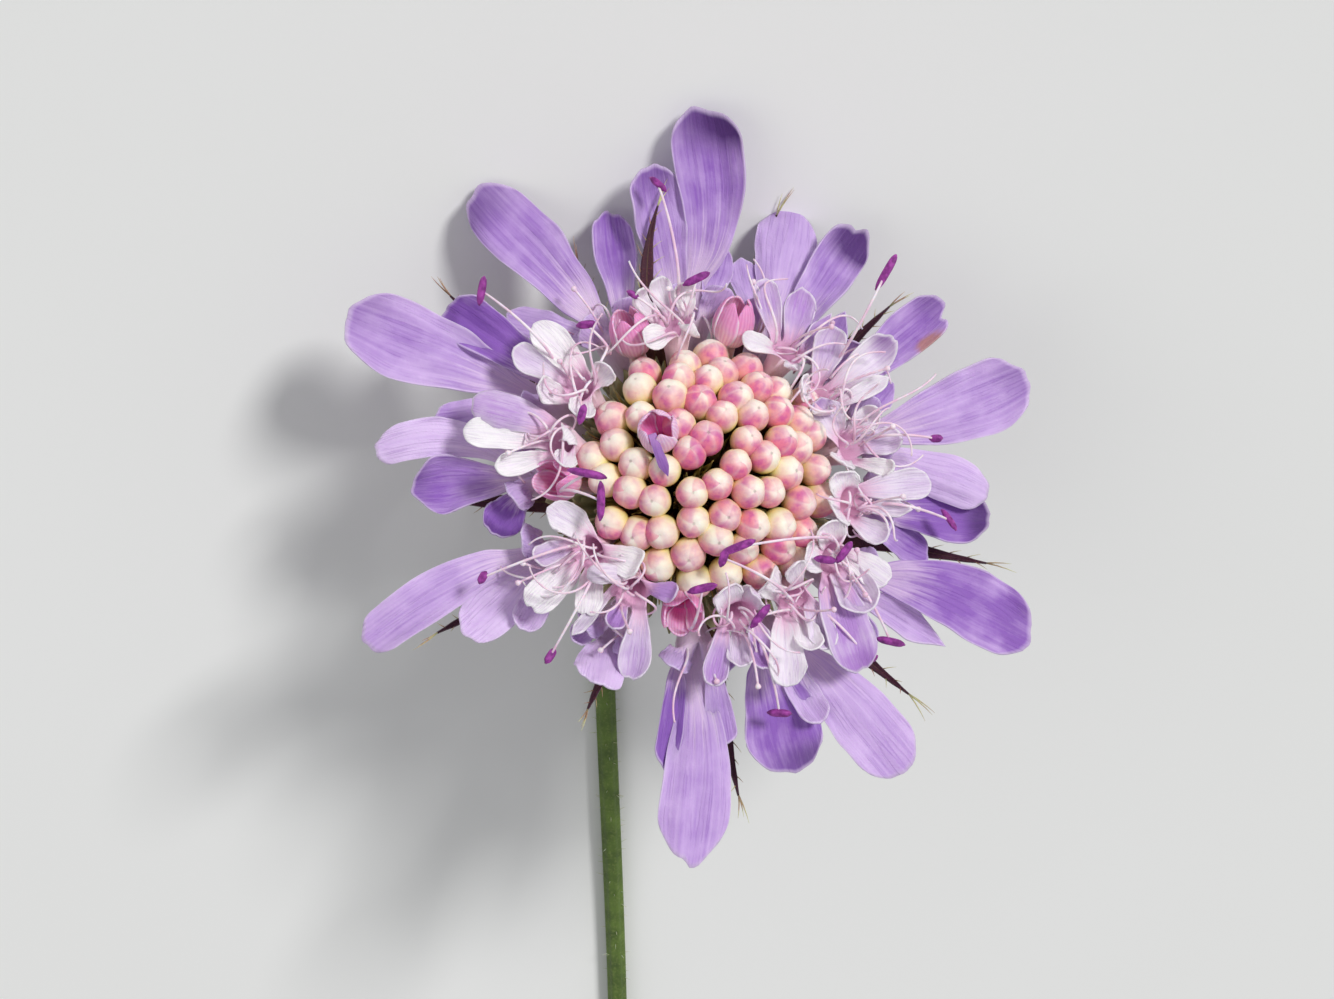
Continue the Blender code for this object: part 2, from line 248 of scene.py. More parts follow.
# %% Value
class Value:
    def __init__(self, finish, socket):
        self.finish = finish
        self.socket = socket

    def math(self, operation, *values):
        return self.finish.node("Math", {"operation": operation}, dict(enumerate(values)))

    def __add__(self, other):
        return self.math("ADD", self, other)

    def __sub__(self, other):
        return self.math("SUBTRACT", self, other)

    def __rsub__(self, other):
        return self.math("SUBTRACT", other, self)

    def __mul__(self, other):
        return self.math("MULTIPLY", self, other)

    __radd__ = __add__
    __rmul__ = __mul__

    def sine(self):
        return self.math("SINE", self)

    def size(self):
        """The value without its sign."""
        return self.math("ABSOLUTE", self)

    def clamp(self):
        return self.finish.node("Clamp", {}, {"Value": self})

    def step(self, low, high):
        """0 below low, 1 above high, an S curve between."""
        settings = {"interpolation_type": "SMOOTHSTEP"}
        sockets = {"Value": self, "From Min": low, "From Max": high}
        return self.finish.node("MapRange", settings, sockets)

    def ramp(self, *stops):
        """A colour for each value, from stops of (place, colour)."""
        return self.finish.node("ValToRGB", {"stops": stops}, {"Fac": self})

# %% Finish
class Finish:
    def __init__(self, name, **constants):
        self.material = bpy.data.materials.new(name)
        self.material.use_nodes = True
        self.tree = self.material.node_tree
        self.shader = self.tree.nodes["Principled BSDF"]
        for socket, value in constants.items():
            self.plug(self.shader.inputs[socket.replace("_", " ")], value)

    def plug(self, socket, value):
        if isinstance(value, Value):
            self.tree.links.new(value.socket, socket)
        else:
            socket.default_value = value

    def node(self, kind, settings, sockets, out=0):
        made = self.tree.nodes.new("ShaderNode" + kind)
        for setting, value in settings.items():
            if setting == "stops":
                elements = made.color_ramp.elements
                while len(elements) < len(value):
                    elements.new(1.0)
                for element, (place, colour) in zip(elements, value):
                    element.position = place
                    element.color = (*colour, 1.0)
            else:
                setattr(made, setting, value)
        for socket, value in sockets.items():
            self.plug(made.inputs[socket], value)
        return Value(self, made.outputs[out])

    def mark(self, name):
        """A number that the shape marked at its points."""
        return self.node("Attribute", {"attribute_name": name}, {}, out=2)

    def noise(self, size, detail=3.0, stretch=None):
        """Soft noise with features of about size millimetres."""
        spot = self.node("TexCoord", {}, {}, out=3) if stretch is None else stretch
        scale = 1.0 / (size * MM) if stretch is None else 1.0 / size
        return self.node("TexNoise", {}, {"Vector": spot, "Scale": scale, "Detail": detail})

    def mix(self, share, first, second):
        """From colour first at 0 to colour second at 1."""
        colours = [c if isinstance(c, Value) else (*c, 1.0) for c in (first, second)]
        sockets = {0: share, 6: colours[0], 7: colours[1]}
        return self.node("Mix", {"data_type": "RGBA"}, sockets, out=2)

    def surface(self, colour, roughness, relief, depth):
        """Wires the shader: relief of 1 stands depth millimetres proud."""
        self.plug(self.shader.inputs["Base Color"], colour)
        self.plug(self.shader.inputs["Roughness"], roughness)
        bump = self.node("Bump", {}, {"Height": relief, "Strength": 1.0, "Distance": depth * MM})
        self.plug(self.shader.inputs["Normal"], bump)
        return self


def srgb(red, green, blue):
    """A colour as a paint chart gives it, 0 to 255, in the linear values that shaders use."""
    return tuple(((c / 255 + 0.055) / 1.055) ** 2.4 for c in (red, green, blue))


# %% [markdown]
# ## Petal finishes
#
# A petal is almost white where it leaves the tube and turns lilac along its claw. Fine darker
# veins run lengthwise and mirror each other about the midrib, so they are drawn from `edge`,
# which is 0 on the midrib and 1 at the margin. A vein is where a stretched noise crosses its
# middle value: that gives thin lines which wander, join and fade as real ones do. The margin
# itself is a thin pale line, and a damaged margin turns brown. Light passes through such a thin
# sheet, which a little subsurface scattering stands for.

# %% One recipe for all petals
MARKS = ("edge", "along", "tone", "shade", "wilt")


def petal_finish(name, claw, pale, deep, dark, rim, vein_strength):
    finish = Finish(
        name,
        Subsurface_Weight=0.2,
        Subsurface_Radius=(1.0, 0.7, 1.0),
        Subsurface_Scale=0.4 * MM,
        Specular_IOR_Level=0.3,
        Sheen_Weight=0.12,
        Sheen_Roughness=0.4,
    )
    edge, along, tone, shade, wilt = [finish.mark(mark) for mark in MARKS]
    patches = finish.noise(1.6)
    grain = finish.noise(0.12, 2.0)
    run = {0: edge * 9.0, 1: along * 2.2, 2: tone * 7.0 + patches}
    lengthwise = finish.node("CombineXYZ", {}, run)
    fibres = finish.noise(1.0, 4.0, lengthwise)
    streaks = finish.noise(1.9, 2.0, lengthwise)
    veins = (1 - (streaks - 0.5).size() * 22.0).clamp()
    veins = veins * along.step(0.0, 0.4) * patches.step(0.3, 0.55)
    middle = 1 - edge.step(0.0, 0.12)
    body = along.step(0.2, 0.7) * (1 - edge.step(0.3, 0.95)) * (tone + 0.3) * 0.25
    mottle = (patches - 0.5) * 0.8 + (fibres - 0.5) * 0.7
    blade = finish.mix((tone + body + mottle * (tone + 0.35)).clamp(), pale, deep)
    blade = finish.mix((along + (fibres - 0.5) * 0.6).step(-0.05, 0.5), claw, blade)
    lines = veins * vein_strength + middle * 0.12 * along.step(0.1, 0.5)
    blade = finish.mix(lines.clamp(), blade, deep)
    # Painted shade: the shade mark darkens the curled end towards the dark colour.
    blade = finish.mix((shade + (fibres - 0.5) * 0.4 * shade).clamp(), blade, dark)
    margin = (edge.step(0.94, 1.0) + along.step(0.965, 1.0)).clamp() * along.step(0.2, 0.5)
    blade = finish.mix(margin * 0.5, blade, rim)
    brown = (wilt + (fibres + patches - 1.0) * wilt * 1.6).step(0.2, 0.9)
    blade = finish.mix(brown * 0.75, blade, srgb(184, 128, 92))
    relief = fibres * 0.6 + grain * 0.25 - veins * 0.2 + patches * 0.7
    return finish.surface(blade, 0.45 + fibres * 0.25, relief, 0.07)

# %% Petal colours
# The dark colour of each petal finish is the colour of its painted shade.
RAY_FACE = petal_finish(
    "ray_petal_face",
    claw=srgb(238, 214, 238),
    pale=srgb(228, 200, 246),
    deep=srgb(142, 96, 184),
    dark=srgb(90, 56, 122),
    rim=srgb(236, 218, 246),
    vein_strength=0.25,
)
RAY_BACK = petal_finish(
    "ray_petal_back",
    claw=srgb(232, 208, 228),
    pale=srgb(212, 186, 234),
    deep=srgb(146, 106, 186),
    dark=srgb(108, 68, 146),
    rim=srgb(226, 210, 240),
    vein_strength=0.3,
)
INNER_FACE = petal_finish(
    "inner_petal_face",
    claw=srgb(242, 188, 220),
    pale=srgb(255, 249, 252),
    deep=srgb(186, 144, 212),
    dark=srgb(128, 74, 160),
    rim=srgb(254, 248, 252),
    vein_strength=0.25,
)
INNER_BACK = petal_finish(
    "inner_petal_back",
    claw=srgb(246, 214, 228),
    pale=srgb(252, 243, 249),
    deep=srgb(186, 148, 208),
    dark=srgb(142, 90, 170),
    rim=srgb(252, 244, 250),
    vein_strength=0.22,
)
print("petal finishes:", RAY_FACE.material.name, INNER_FACE.material.name)

# %% [markdown]
# ## A floret
#
# A floret is a tube that widens into a throat, and the throat's rim splits into five lobes:
# three long ones outwards and two short ones inwards. Modelled as separate parts they would
# show seams, so tube and lobes share one ring of points, and every lobe starts as its own
# stretch of that ring. Each lobe then bends along a curve to its tip, cupped, folded, rolled or
# twisted by the values that its `Lobe` gives.

# %% What one lobe is
class Lobe(NamedTuple):
    azimuth: float
    reach: float  # of its tip from the head's axis
    half_width: float
    height: float  # of its tip
    # tone is partly the lobe's own violet and partly painted shade: lobes that lie in shade have deeper
    # tones.
    tone: float = 0.35  # 0 pale to 1 deep violet
    curl: float = 0.4  # how far its end lifts
    cup: float = 0.14  # how far its margins lift, as a share of its half width
    fold: float = 0.0  # slope of both halves up from the midrib
    roll: float = 0.0  # lift of one margin: the left one seen from the middle, or the right if < 0
    twist: float = 0.0  # degrees, by its end
    bow: float = 0.0  # how far its middle bends aside, towards larger azimuths
    point: float = 0.0  # how far its end runs out past round, or is notched if < 0
    # shade is painted shade inside the curled end, and shade_side picks the margin that it lies towards.
    shade: float = 0.0  # darkness inside its curled end
    shade_side: float = 0.0  # which margin that lies towards
    waist: float = 0.4  # width of its claw as a share of its widest
    rise: float = 25.0  # degrees that it climbs as it leaves the throat
    bite: float = 0.0  # depth of a bite out of its end
    wilt: float = 0.0  # brownness along its right margin

# %% The outline of a lobe
def blade_width(t, waist):
    """Half width along a lobe as a share of its widest: a claw, then a long rounded blade."""
    widest = 0.72
    if t < widest:
        return waist + (1.0 - waist) * smooth(t / widest) ** 0.85
    return 1.0 - 0.16 * ((t - widest) / (1.0 - widest)) ** 2


def end_drop(across, lobe, length, seed):
    """How far short of the tip a lobe's margin is, as a share of its length: a round end."""
    round_end = 1.05 * lobe.half_width * (1.0 - math.sqrt(1.0 - min(1.0, abs(across)) ** 2.2))
    pointed = lobe.point * ((1.0 - abs(across)) ** 1.5 - 1.0)
    bitten = lobe.bite * math.exp(-(((across + 0.45) / 0.22) ** 2))
    uneven = 0.16 * noise.noise(Vector((across * 2.2, seed, 0.0))) * lobe.half_width
    return (round_end - pointed + bitten + uneven) / length


def crinkle(across, s, seed):
    """The unevenness of a soft petal: broad waves, and narrow folds that run lengthwise."""
    broad = noise.noise(Vector((across * 1.3, s * 3.0, seed)))
    narrow = noise.noise(Vector((across * 4.5, s * 2.0, seed + 9.0)))
    margin = abs(across) ** 3 * noise.noise(Vector((math.copysign(2.0, across), s * 6.0, seed + 5.0)))
    return 0.16 * broad + 0.07 * narrow + 0.3 * margin

# %% Building a lobe
def add_lobe(shape, arc_row, tip, lobe, steps):
    """Rows of points from a stretch of the throat's ring to a rounded tip."""
    arc = [shape.points[i] for i in arc_row]
    count = len(arc)
    start = sum(arc, Vector()) / count
    out = Vector((tip.x - start.x, tip.y - start.y, 0.0)).normalized()
    side = Vector((-out.y, out.x, 0.0))
    if (arc[-1] - arc[0]).dot(side) < 0:
        side = -side
    length = (tip - start).length
    climb = math.radians(lobe.rise)
    p1 = start + (out * math.cos(climb) + UP * math.sin(climb)) * length / 3
    curve = (start, p1, tip.lerp(p1, 0.45), tip)
    seed = lobe.azimuth * 1.7 + lobe.reach * 2.9
    rows = [arc_row]
    for step in range(1, steps + 1):
        t = step / steps
        row = []
        for k in range(count):
            across = math.sin(math.pi / 2 * (2.0 * k / (count - 1) - 1.0))
            s = t * (1.0 - end_drop(across, lobe, length, seed))
            centre = bezier(*curve, s)
            up = bezier_slope(*curve, s).cross(side).normalized()
            width = lobe.half_width * blade_width(s, lobe.waist)
            width *= 1.0 + 0.12 * noise.noise(Vector((math.copysign(3.0, across), s * 3.5, seed)))
            end = max(0.0, (s - 0.68) / 0.32)
            lift = width * (lobe.cup * across**2 + lobe.fold * abs(across))
            lift += lobe.curl * end**2 * (1.0 + 0.35 * across**2)
            rolled = max(0.0, across * math.copysign(1.0, lobe.roll)) ** 2
            lift += abs(lobe.roll) * rolled * smooth(s * 1.4)
            lift += crinkle(across, s, seed) * lobe.half_width * smooth(s * 2)
            turn = math.radians(lobe.twist) * s * s
            x, z = across * width, lift
            x, z = x * math.cos(turn) - z * math.sin(turn), x * math.sin(turn) + z * math.cos(turn)
            blade = centre + side * (x + lobe.bow * math.sin(math.pi * s)) + up * z
            place = (arc[k] + centre - start).lerp(blade, smooth(t / 0.3))
            # Painted shade: dark is how much shade is painted on the curled end, more towards the margin
            # that shade_side picks.
            lean = 0.5 + 0.5 * lobe.shade_side * across
            dark = lobe.shade * smooth((end - 0.15) * 1.6) * min(1.0, lean * 1.4)
            wilt = lobe.wilt * math.exp(-(((s - 0.72) / 0.13) ** 2)) * smooth((-across - 0.3) * 1.6)
            row.append(shape.point(place, abs(across), t, lobe.tone, dark, wilt))
        rows.append(row)
    shape.skin(rows, closed=False, base=False)


# %% [markdown]
# ## The tube of a floret
#
# The tube's lowest part, where the seed will grow, is swollen. Above it the tube is thinnest,
# and then it opens to the throat. The profile is a short list of (level, radius), smoothed
# between, which is all that the eye can check on something so small.

# %% Places on a tube
def wall_direction(foot, throat, angle):
    """From a tube's axis to its wall; 0 degrees is the outer, lower side."""
    along = (throat - foot).normalized()
    outer = Vector((along.z, 0.0, -along.x))
    return around(outer, Vector((0.0, 1.0, 0.0)), math.radians(angle))


def profile_radius(profile, level):
    for (low, low_radius), (high, high_radius) in zip(profile, profile[1:]):
        if level <= high:
            return low_radius + (high_radius - low_radius) * smooth((level - low) / (high - low))
    return profile[-1][1]


def short_tip(foot, throat, radius, angle, length, lean):
    """Where a short lobe ends: on up along the tube, and leaning outwards."""
    along = (throat - foot).normalized()
    return throat + wall_direction(foot, throat, angle) * (radius + lean * length) + along * length

# %% Building a whole floret
TUBE_STEPS = 9


def add_floret(shape, foot, throat, profile, lobes):
    """lobes holds (segments, degrees of the ring, tip, Lobe, steps) in order round the throat."""
    columns = []
    start = -180.0
    for segments, span, *_ in lobes:
        for i in range(segments):
            columns.append((start + span * i / segments, abs(2.0 * i / segments - 1.0)))
        start += span
    rings = []
    for step in range(TUBE_STEPS + 1):
        level = step / TUBE_STEPS
        radius = profile_radius(profile, level)
        ring = []
        for angle, edge in columns:
            place = foot.lerp(throat, level) + wall_direction(foot, throat, angle) * radius
            ring.append(shape.point(place, edge, 0.45 * (level - 1.0), 0.3, 0.0, 0.0))
        rings.append(ring)
    shape.skin(rings)
    rim = ring + ring[:1]
    first = 0
    for segments, _, tip, lobe, steps in lobes:
        add_lobe(shape, rim[first : first + segments + 1], tip, lobe, steps)
        first += segments


# %% [markdown]
# ## The ray florets
#
# Thirteen ray florets make the outer ring. No two lobes are alike, and their outline against
# the table is what the eye knows the flower by, so each lobe has its own line below. A ring of
# copies with random changes would be shorter but would not be this flower.

# %% The lobes of the ray florets
RAY_FOOT = Vector((3.1, 0.0, -5.55))
RAY_THROAT = Vector((8.4, 0.0, -2.3))
RAY_PROFILE = ((0.0, 0.34), (0.1, 0.44), (0.24, 0.36), (0.6, 0.5), (1.0, 0.95))
PETAL_THICKNESS = 0.09

# In these lines shade is painted shade, and the deepest tones, as at 290 and 355 degrees, are partly painted
# shade.
RAY_FLORETS = (
    (16, (
        Lobe(17.4, 18.4, 1.8, -2.4, tone=0.4, curl=0.5, shade=0.35, shade_side=1, waist=0.35, bow=-0.3),
        Lobe(-1, 15.3, 1.2, -1.8, tone=0.1, curl=-0.5, cup=-0.25),
        Lobe(27, 12.0, 0.8, -3.4, tone=0.5),
    )),
    (38, (
        Lobe(34.8, 16.4, 1.2, -2.6, tone=0.6, curl=0.6, cup=0.3, shade=0.45, shade_side=1,
             bite=0.5, wilt=1.0),
        Lobe(47, 12.1, 0.8, -1.6, tone=0.5, point=0.8, fold=0.3),
        Lobe(37, 11.6, 0.9, -0.9, tone=0.0, curl=0.5, cup=0.4, shade=0.4),
    )),
    (63, (
        Lobe(66.5, 16.2, 1.6, -3.98, tone=0.3, curl=-0.3, cup=-0.25),
        Lobe(54.5, 15.9, 1.3, -3.8, tone=0.5, curl=1.3, shade=2.0, shade_side=-0.7, cup=0.3),
        Lobe(73, 12.2, 0.8, -3.9, tone=0.3),
    )),
    (90, (
        Lobe(87.3, 18.6, 1.7, -0.1, tone=0.6, curl=0.8, shade=1.3, shade_side=-0.8, waist=0.24,
             roll=-0.7, bow=-0.9),
        Lobe(95, 16.0, 1.35, -1.5, tone=0.5, curl=0.7, shade=0.5, shade_side=-0.6, cup=0.3),
        Lobe(79, 12.4, 0.8, -2.8, tone=0.5),
    )),
    (119, (
        Lobe(123, 17.8, 1.7, -3.36, tone=0.56, curl=0.6, point=-0.1, shade=0.8, shade_side=0.6,
             waist=0.45),
        Lobe(102.5, 14.3, 1.05, -3.8, tone=0.7, curl=0.5, cup=0.35),
        Lobe(133, 12.0, 0.8, -3.8, tone=0.3),
    )),
    (150, (
        Lobe(153.4, 18.3, 1.95, -1.8, tone=0.42, curl=0.5, shade=0.3, shade_side=-1, waist=0.26),
        Lobe(141.4, 14.5, 1.3, -2.8, tone=0.9, fold=0.4, curl=0.2, twist=-15),
        Lobe(164, 12.4, 0.9, -3.0, tone=0.4),
    )),
    (178, (
        Lobe(172.5, 15.1, 1.0, -2.3, tone=0.0, curl=-0.2, cup=-0.2, waist=0.5, bow=-0.8),
        Lobe(180, 13.2, 1.3, -3.0, tone=0.65, curl=0.4, roll=-0.7, shade=0.6, shade_side=-1, point=0.3),
        # This lobe is painted as dark as it goes, in tone and shade: painted shade for the shade over this
        # spot.
        Lobe(193, 9.6, 1.05, -2.7, tone=1.0, shade=1.0, cup=0.2),
    )),
    (207, (
        Lobe(205.4, 17.3, 1.15, -2.0, tone=0.35, curl=-0.1, cup=-0.15, waist=0.5, bow=-0.4),
        Lobe(213, 12.9, 1.3, -2.7, tone=0.0, curl=0.2, roll=0.3),
        Lobe(220, 10.8, 0.8, -1.8, tone=0.0, curl=0.2, waist=0.6),
    )),
    (238, (
        Lobe(243, 11.1, 1.25, 0.9, tone=0.0, curl=-0.1, cup=-0.1, bite=0.35, waist=0.25, rise=65),
        Lobe(253, 9.4, 0.7, -2.2, tone=0.1, cup=0.4),
        Lobe(232, 9.5, 0.6, -2.2, tone=0.1, fold=0.5),
    )),
    (267, (
        Lobe(268.5, 18.4, 1.75, -1.8, tone=0.4, curl=0.1, cup=-0.12, point=0.7, waist=0.45, bow=0.3),
        Lobe(277, 12.6, 0.7, -2.6, tone=0.4),
        Lobe(264, 13.7, 0.6, -2.7, tone=0.9, fold=0.5, point=0.5, waist=0.7),
    )),
    (294, (
        Lobe(290, 14.6, 2.0, -3.0, tone=0.75, curl=0.3, cup=0.2, shade=0.9, shade_side=1),
        Lobe(306.8, 17.4, 1.7, -2.2, tone=0.25, curl=0.1, cup=-0.12, waist=0.35),
        Lobe(298, 13.2, 0.8, -1.9, tone=0.05, fold=0.4),
    )),
    (325, (
        Lobe(336, 18.5, 1.8, -2.0, tone=0.75, curl=0.3, shade=0.2, shade_side=1, waist=0.32, bow=0.5),
        Lobe(328.5, 14.9, 0.8, -2.9, tone=0.15, fold=0.6, point=1.2),
        Lobe(318, 12.0, 0.9, -2.8, tone=0.4, cup=0.4),
    )),
    (352, (
        Lobe(355, 15.4, 1.4, -3.3, tone=1.0, curl=0.5, cup=0.25, shade=1.4),
        Lobe(346, 12.6, 0.9, -3.9, tone=0.7),
        Lobe(2, 12.2, 0.7, -4.0, tone=0.5),
    )),
)

# %% Building the ray florets
def make_ray_floret(number, azimuth, long_lobes):
    shape = Shape(turned(azimuth), *MARKS)
    tips = []
    for lobe in long_lobes:
        turn = (lobe.azimuth - azimuth + 180) % 360 - 180
        tips.append((turn, spread(lobe.azimuth, lobe.reach, lobe.height, azimuth), lobe))
    tips.sort(key=lambda tip: tip[0])
    short = Lobe(0, 2.2, 0.85, 0, tone=0.0, curl=0.15, cup=0.3, waist=0.7)
    rim_radius = RAY_PROFILE[-1][1]
    ends = [short_tip(RAY_FOOT, RAY_THROAT, rim_radius, angle, 1.7, 0.5) for angle in (-134, 134)]
    lobes = [(12, 92, ends[0], short, 14)]
    for span, (_, tip, lobe) in zip((56, 64, 56), tips):
        lobes.append((22, span, tip, lobe, 32))
    lobes.append((12, 92, ends[1], short, 14))
    add_floret(shape, RAY_FOOT, RAY_THROAT, RAY_PROFILE, lobes)
    name = f"ray_floret_{number}"
    make_piece(name, shape, (RAY_BACK, RAY_FACE), (name,), PETAL_THICKNESS)


for number, (azimuth, long_lobes) in enumerate(RAY_FLORETS, 1):
    make_ray_floret(number, azimuth, long_lobes)
print("ray florets:", len(RAY_FLORETS))

# %% [markdown]
# ## The inner ring
#
# Inside the rays stand smaller florets, cupped and nearly white, and between them a few buds
# that are just opening. Each floret here has three outer lobes and two that lean in over the
# dome of buds. Those that catch the eye have their own line, and where a floret has only three
# lines, its two inner lobes come from a seeded random draw.

# %% The lobes of the inner florets
INNER_FOOT = Vector((2.7, 0.0, -4.4))
INNER_THROAT = Vector((7.7, 0.0, -0.3))
INNER_PROFILE = ((0.0, 0.26), (0.1, 0.33), (0.24, 0.28), (0.55, 0.34), (0.8, 0.5), (1.0, 0.8))
INNER_PLACES = 16
FIRST_INNER_PLACE = 10.5
OPENING_BUD_PLACES = (3, 5, 8, 11)

# Here too shade is painted shade, and the deepest tones, as at 240 and 259 degrees, are partly painted
# shade.
INNER_FLORETS = (
    (
        Lobe(2, 9.9, 0.42, 0.6, tone=0.0, fold=0.3),
        Lobe(11, 10.6, 0.7, 0.0, tone=0.35, cup=0.3),
        Lobe(20, 9.8, 0.6, 0.2, tone=0.15, curl=0.8),
        Lobe(31, 7.2, 0.95, 0.2, tone=0.3, cup=0.3, shade=0.8, rise=30),
        Lobe(3, 7.0, 0.8, 1.3, tone=0.1, curl=0.3, cup=0.2, rise=50),
    ),
    (
        Lobe(27, 11.0, 0.45, 0.0, tone=0.1, fold=0.4, point=0.3),
        Lobe(34, 12.1, 0.85, -0.1, tone=0.25, curl=0.9, roll=0.5, shade=0.7, shade_side=1),
        Lobe(46, 10.3, 0.8, 0.5, tone=0.45, cup=0.6, curl=0.5),
        Lobe(41, 6.5, 0.7, 1.5, tone=0.05, cup=0.3, rise=60),
        Lobe(24, 7.0, 0.8, 0.9, tone=0.2, cup=0.2, rise=40),
    ),
    (
        Lobe(49, 10.8, 0.5, -0.1, tone=0.6, point=0.6, fold=0.4),
        Lobe(58, 11.1, 0.8, -0.5, tone=0.7, curl=0.5, cup=0.4),
        Lobe(69, 10.6, 0.65, -0.1, tone=0.55, curl=0.3, cup=0.3),
        Lobe(70, 7.2, 0.5, 0.9, tone=0.1, cup=0.3, rise=50),
        Lobe(46, 7.0, 0.5, 1.0, tone=0.15, cup=0.3, rise=50),
    ),
    (
        Lobe(92, 9.6, 0.55, 0.8, tone=0.0, cup=0.5, curl=0.5),
        Lobe(99, 10.0, 0.6, 0.4, tone=0.1, cup=0.3),
        Lobe(107, 9.5, 0.5, 0.9, tone=0.05, curl=0.8),
        Lobe(112, 6.9, 0.65, 1.5, tone=0.0, cup=0.3, rise=60),
        Lobe(92, 6.9, 0.7, 1.6, tone=0.0, cup=0.2, rise=60),
    ),
    (
        Lobe(135, 10.6, 0.85, 0.1, tone=0.0, curl=0.2, waist=0.6),
        Lobe(144, 10.6, 0.7, 0.0, tone=0.3, cup=0.4),
        Lobe(152, 9.0, 0.65, 1.1, tone=0.05, fold=0.5, curl=0.6),
        Lobe(157, 6.3, 0.7, 1.6, tone=0.0, cup=0.3, fold=0.3, rise=60),
        Lobe(127, 6.6, 0.65, 1.6, tone=0.05, cup=0.4, rise=60),
    ),
    (
        Lobe(160.5, 11.2, 0.9, 0.2, tone=0.65, cup=-0.35, curl=-0.2, waist=0.55),
        Lobe(168, 11.2, 0.75, -0.1, tone=0.0, curl=0.1, waist=0.55),
        Lobe(178, 9.6, 0.55, 0.6, tone=0.0, cup=0.5),
        Lobe(178, 6.6, 0.6, 1.4, tone=0.1, cup=0.4, rise=60),
        Lobe(163, 6.4, 0.7, 1.7, tone=0.0, cup=0.2, rise=60),
    ),
    (
        Lobe(207, 9.0, 0.55, 0.9, tone=0.5, cup=0.4),
        Lobe(217.5, 10.0, 0.85, 0.0, tone=0.0, curl=-0.1, cup=-0.1, point=-0.25, waist=0.7),
        Lobe(230, 8.4, 0.65, 0.6, tone=0.0, curl=-0.1, cup=-0.1, point=-0.3, waist=0.7),
        Lobe(238, 5.4, 0.8, 1.9, tone=0.0, cup=-0.1, point=-0.3, waist=0.6, rise=50),
        Lobe(193, 7.4, 0.8, 1.2, tone=0.15, cup=0.3, curl=0.3, rise=50),
    ),
    (
        Lobe(231, 9.7, 0.32, 0.2, tone=0.25, fold=0.3, point=0.3),
        Lobe(240, 8.4, 0.5, 0.1, tone=0.9, cup=0.6),
        Lobe(252, 10.0, 0.75, -0.5, tone=0.5, cup=0.4, twist=25, shade=0.3, rise=0),
        Lobe(259, 5.9, 0.5, 1.6, tone=0.95, cup=-0.4, rise=50),
        Lobe(222, 7.2, 0.5, 1.9, tone=0.2, cup=0.3, rise=70),
    ),
    (
        Lobe(273, 10.0, 0.6, 0.1, tone=0.7, cup=0.4),
        Lobe(281, 9.5, 0.65, 0.5, tone=0.35, fold=0.3),
        Lobe(289, 9.8, 0.65, 0.2, tone=0.8, cup=0.5, curl=0.5),
    ),
    (
        Lobe(292, 10.9, 0.88, 0.3, tone=0.15, fold=0.4, curl=0.2, waist=0.6),
        Lobe(302, 10.2, 0.7, 0.6, tone=0.1, cup=0.6, curl=0.6),
        Lobe(307, 10.4, 0.7, 0.1, tone=0.4, cup=0.4),
        Lobe(315, 6.0, 0.6, 2.0, tone=0.1, cup=0.3, rise=60),
        Lobe(300, 5.8, 0.85, 2.1, tone=0.05, cup=-0.3, rise=60),
    ),
    (
        Lobe(309.5, 12.1, 1.25, -0.2, tone=0.75, fold=0.25, curl=0.2, twist=-10, waist=0.6,
             shade=0.5, shade_side=1),
        Lobe(320, 10.6, 1.0, 0.6, tone=0.4, cup=0.7, curl=0.5, waist=0.7),
        Lobe(331, 10.6, 0.8, 0.5, tone=0.05, curl=0.2, cup=-0.1),
    ),
    (
        Lobe(341, 9.8, 0.6, 0.8, tone=0.3, cup=0.4),
        Lobe(351.5, 10.8, 0.42, 0.3, tone=0.2, fold=0.3, point=0.4),
        Lobe(359, 11.7, 0.78, 0.0, tone=0.3, curl=0.2, cup=0.3),
    ),
)

# %% Building the inner florets
def inner_lobe(draw, side):
    """A lobe that leans in over the dome, on the floret's left or right."""
    return Lobe(
        side * draw.uniform(6.0, 12.0),
        draw.uniform(5.6, 6.4),
        draw.uniform(0.7, 0.95),
        draw.uniform(1.2, 1.8),
        tone=draw.uniform(0.0, 0.3),
        curl=draw.uniform(0.1, 0.6),
        cup=draw.uniform(-0.2, 0.5),
        twist=draw.uniform(-25, 25),
        waist=0.75,
        rise=60,
    )


def make_inner_floret(number, azimuth):
    draw = random.Random(100 + number)
    outer, inner = INNER_FLORETS[number - 1][:3], INNER_FLORETS[number - 1][3:]
    throat = INNER_THROAT + Vector((draw.uniform(-0.9, -0.4), 0.0, draw.uniform(0.1, 0.6)))
    ends = []
    for side in (-1, 1):
        if inner:
            lobe = inner[(1 - side) // 2]
            ends.append((spread(lobe.azimuth, lobe.reach, lobe.height, azimuth), lobe))
        else:
            lobe = inner_lobe(draw, side)
            ends.append((polar(lobe.azimuth, lobe.reach, lobe.height), lobe))
    lobes = [(10, 80, *ends[0], 16)]
    for lobe in outer:
        tip = spread(lobe.azimuth, lobe.reach, lobe.height, azimuth)
        lobes.append((14, 200 / 3, tip, lobe, 22))
    lobes.append((10, 80, *ends[1], 16))
    shape = Shape(turned(azimuth), *MARKS)
    add_floret(shape, INNER_FOOT, throat, INNER_PROFILE, lobes)
    name = f"inner_floret_{number}"
    make_piece(name, shape, (INNER_BACK, INNER_FACE), (name,), PETAL_THICKNESS)


inner_azimuths = [FIRST_INNER_PLACE + 360 * place / INNER_PLACES for place in range(INNER_PLACES)]
open_azimuths = [a for i, a in enumerate(inner_azimuths) if i not in OPENING_BUD_PLACES]
for number, azimuth in enumerate(open_azimuths, 1):
    make_inner_floret(number, azimuth)
print("inner florets:", len(open_azimuths))

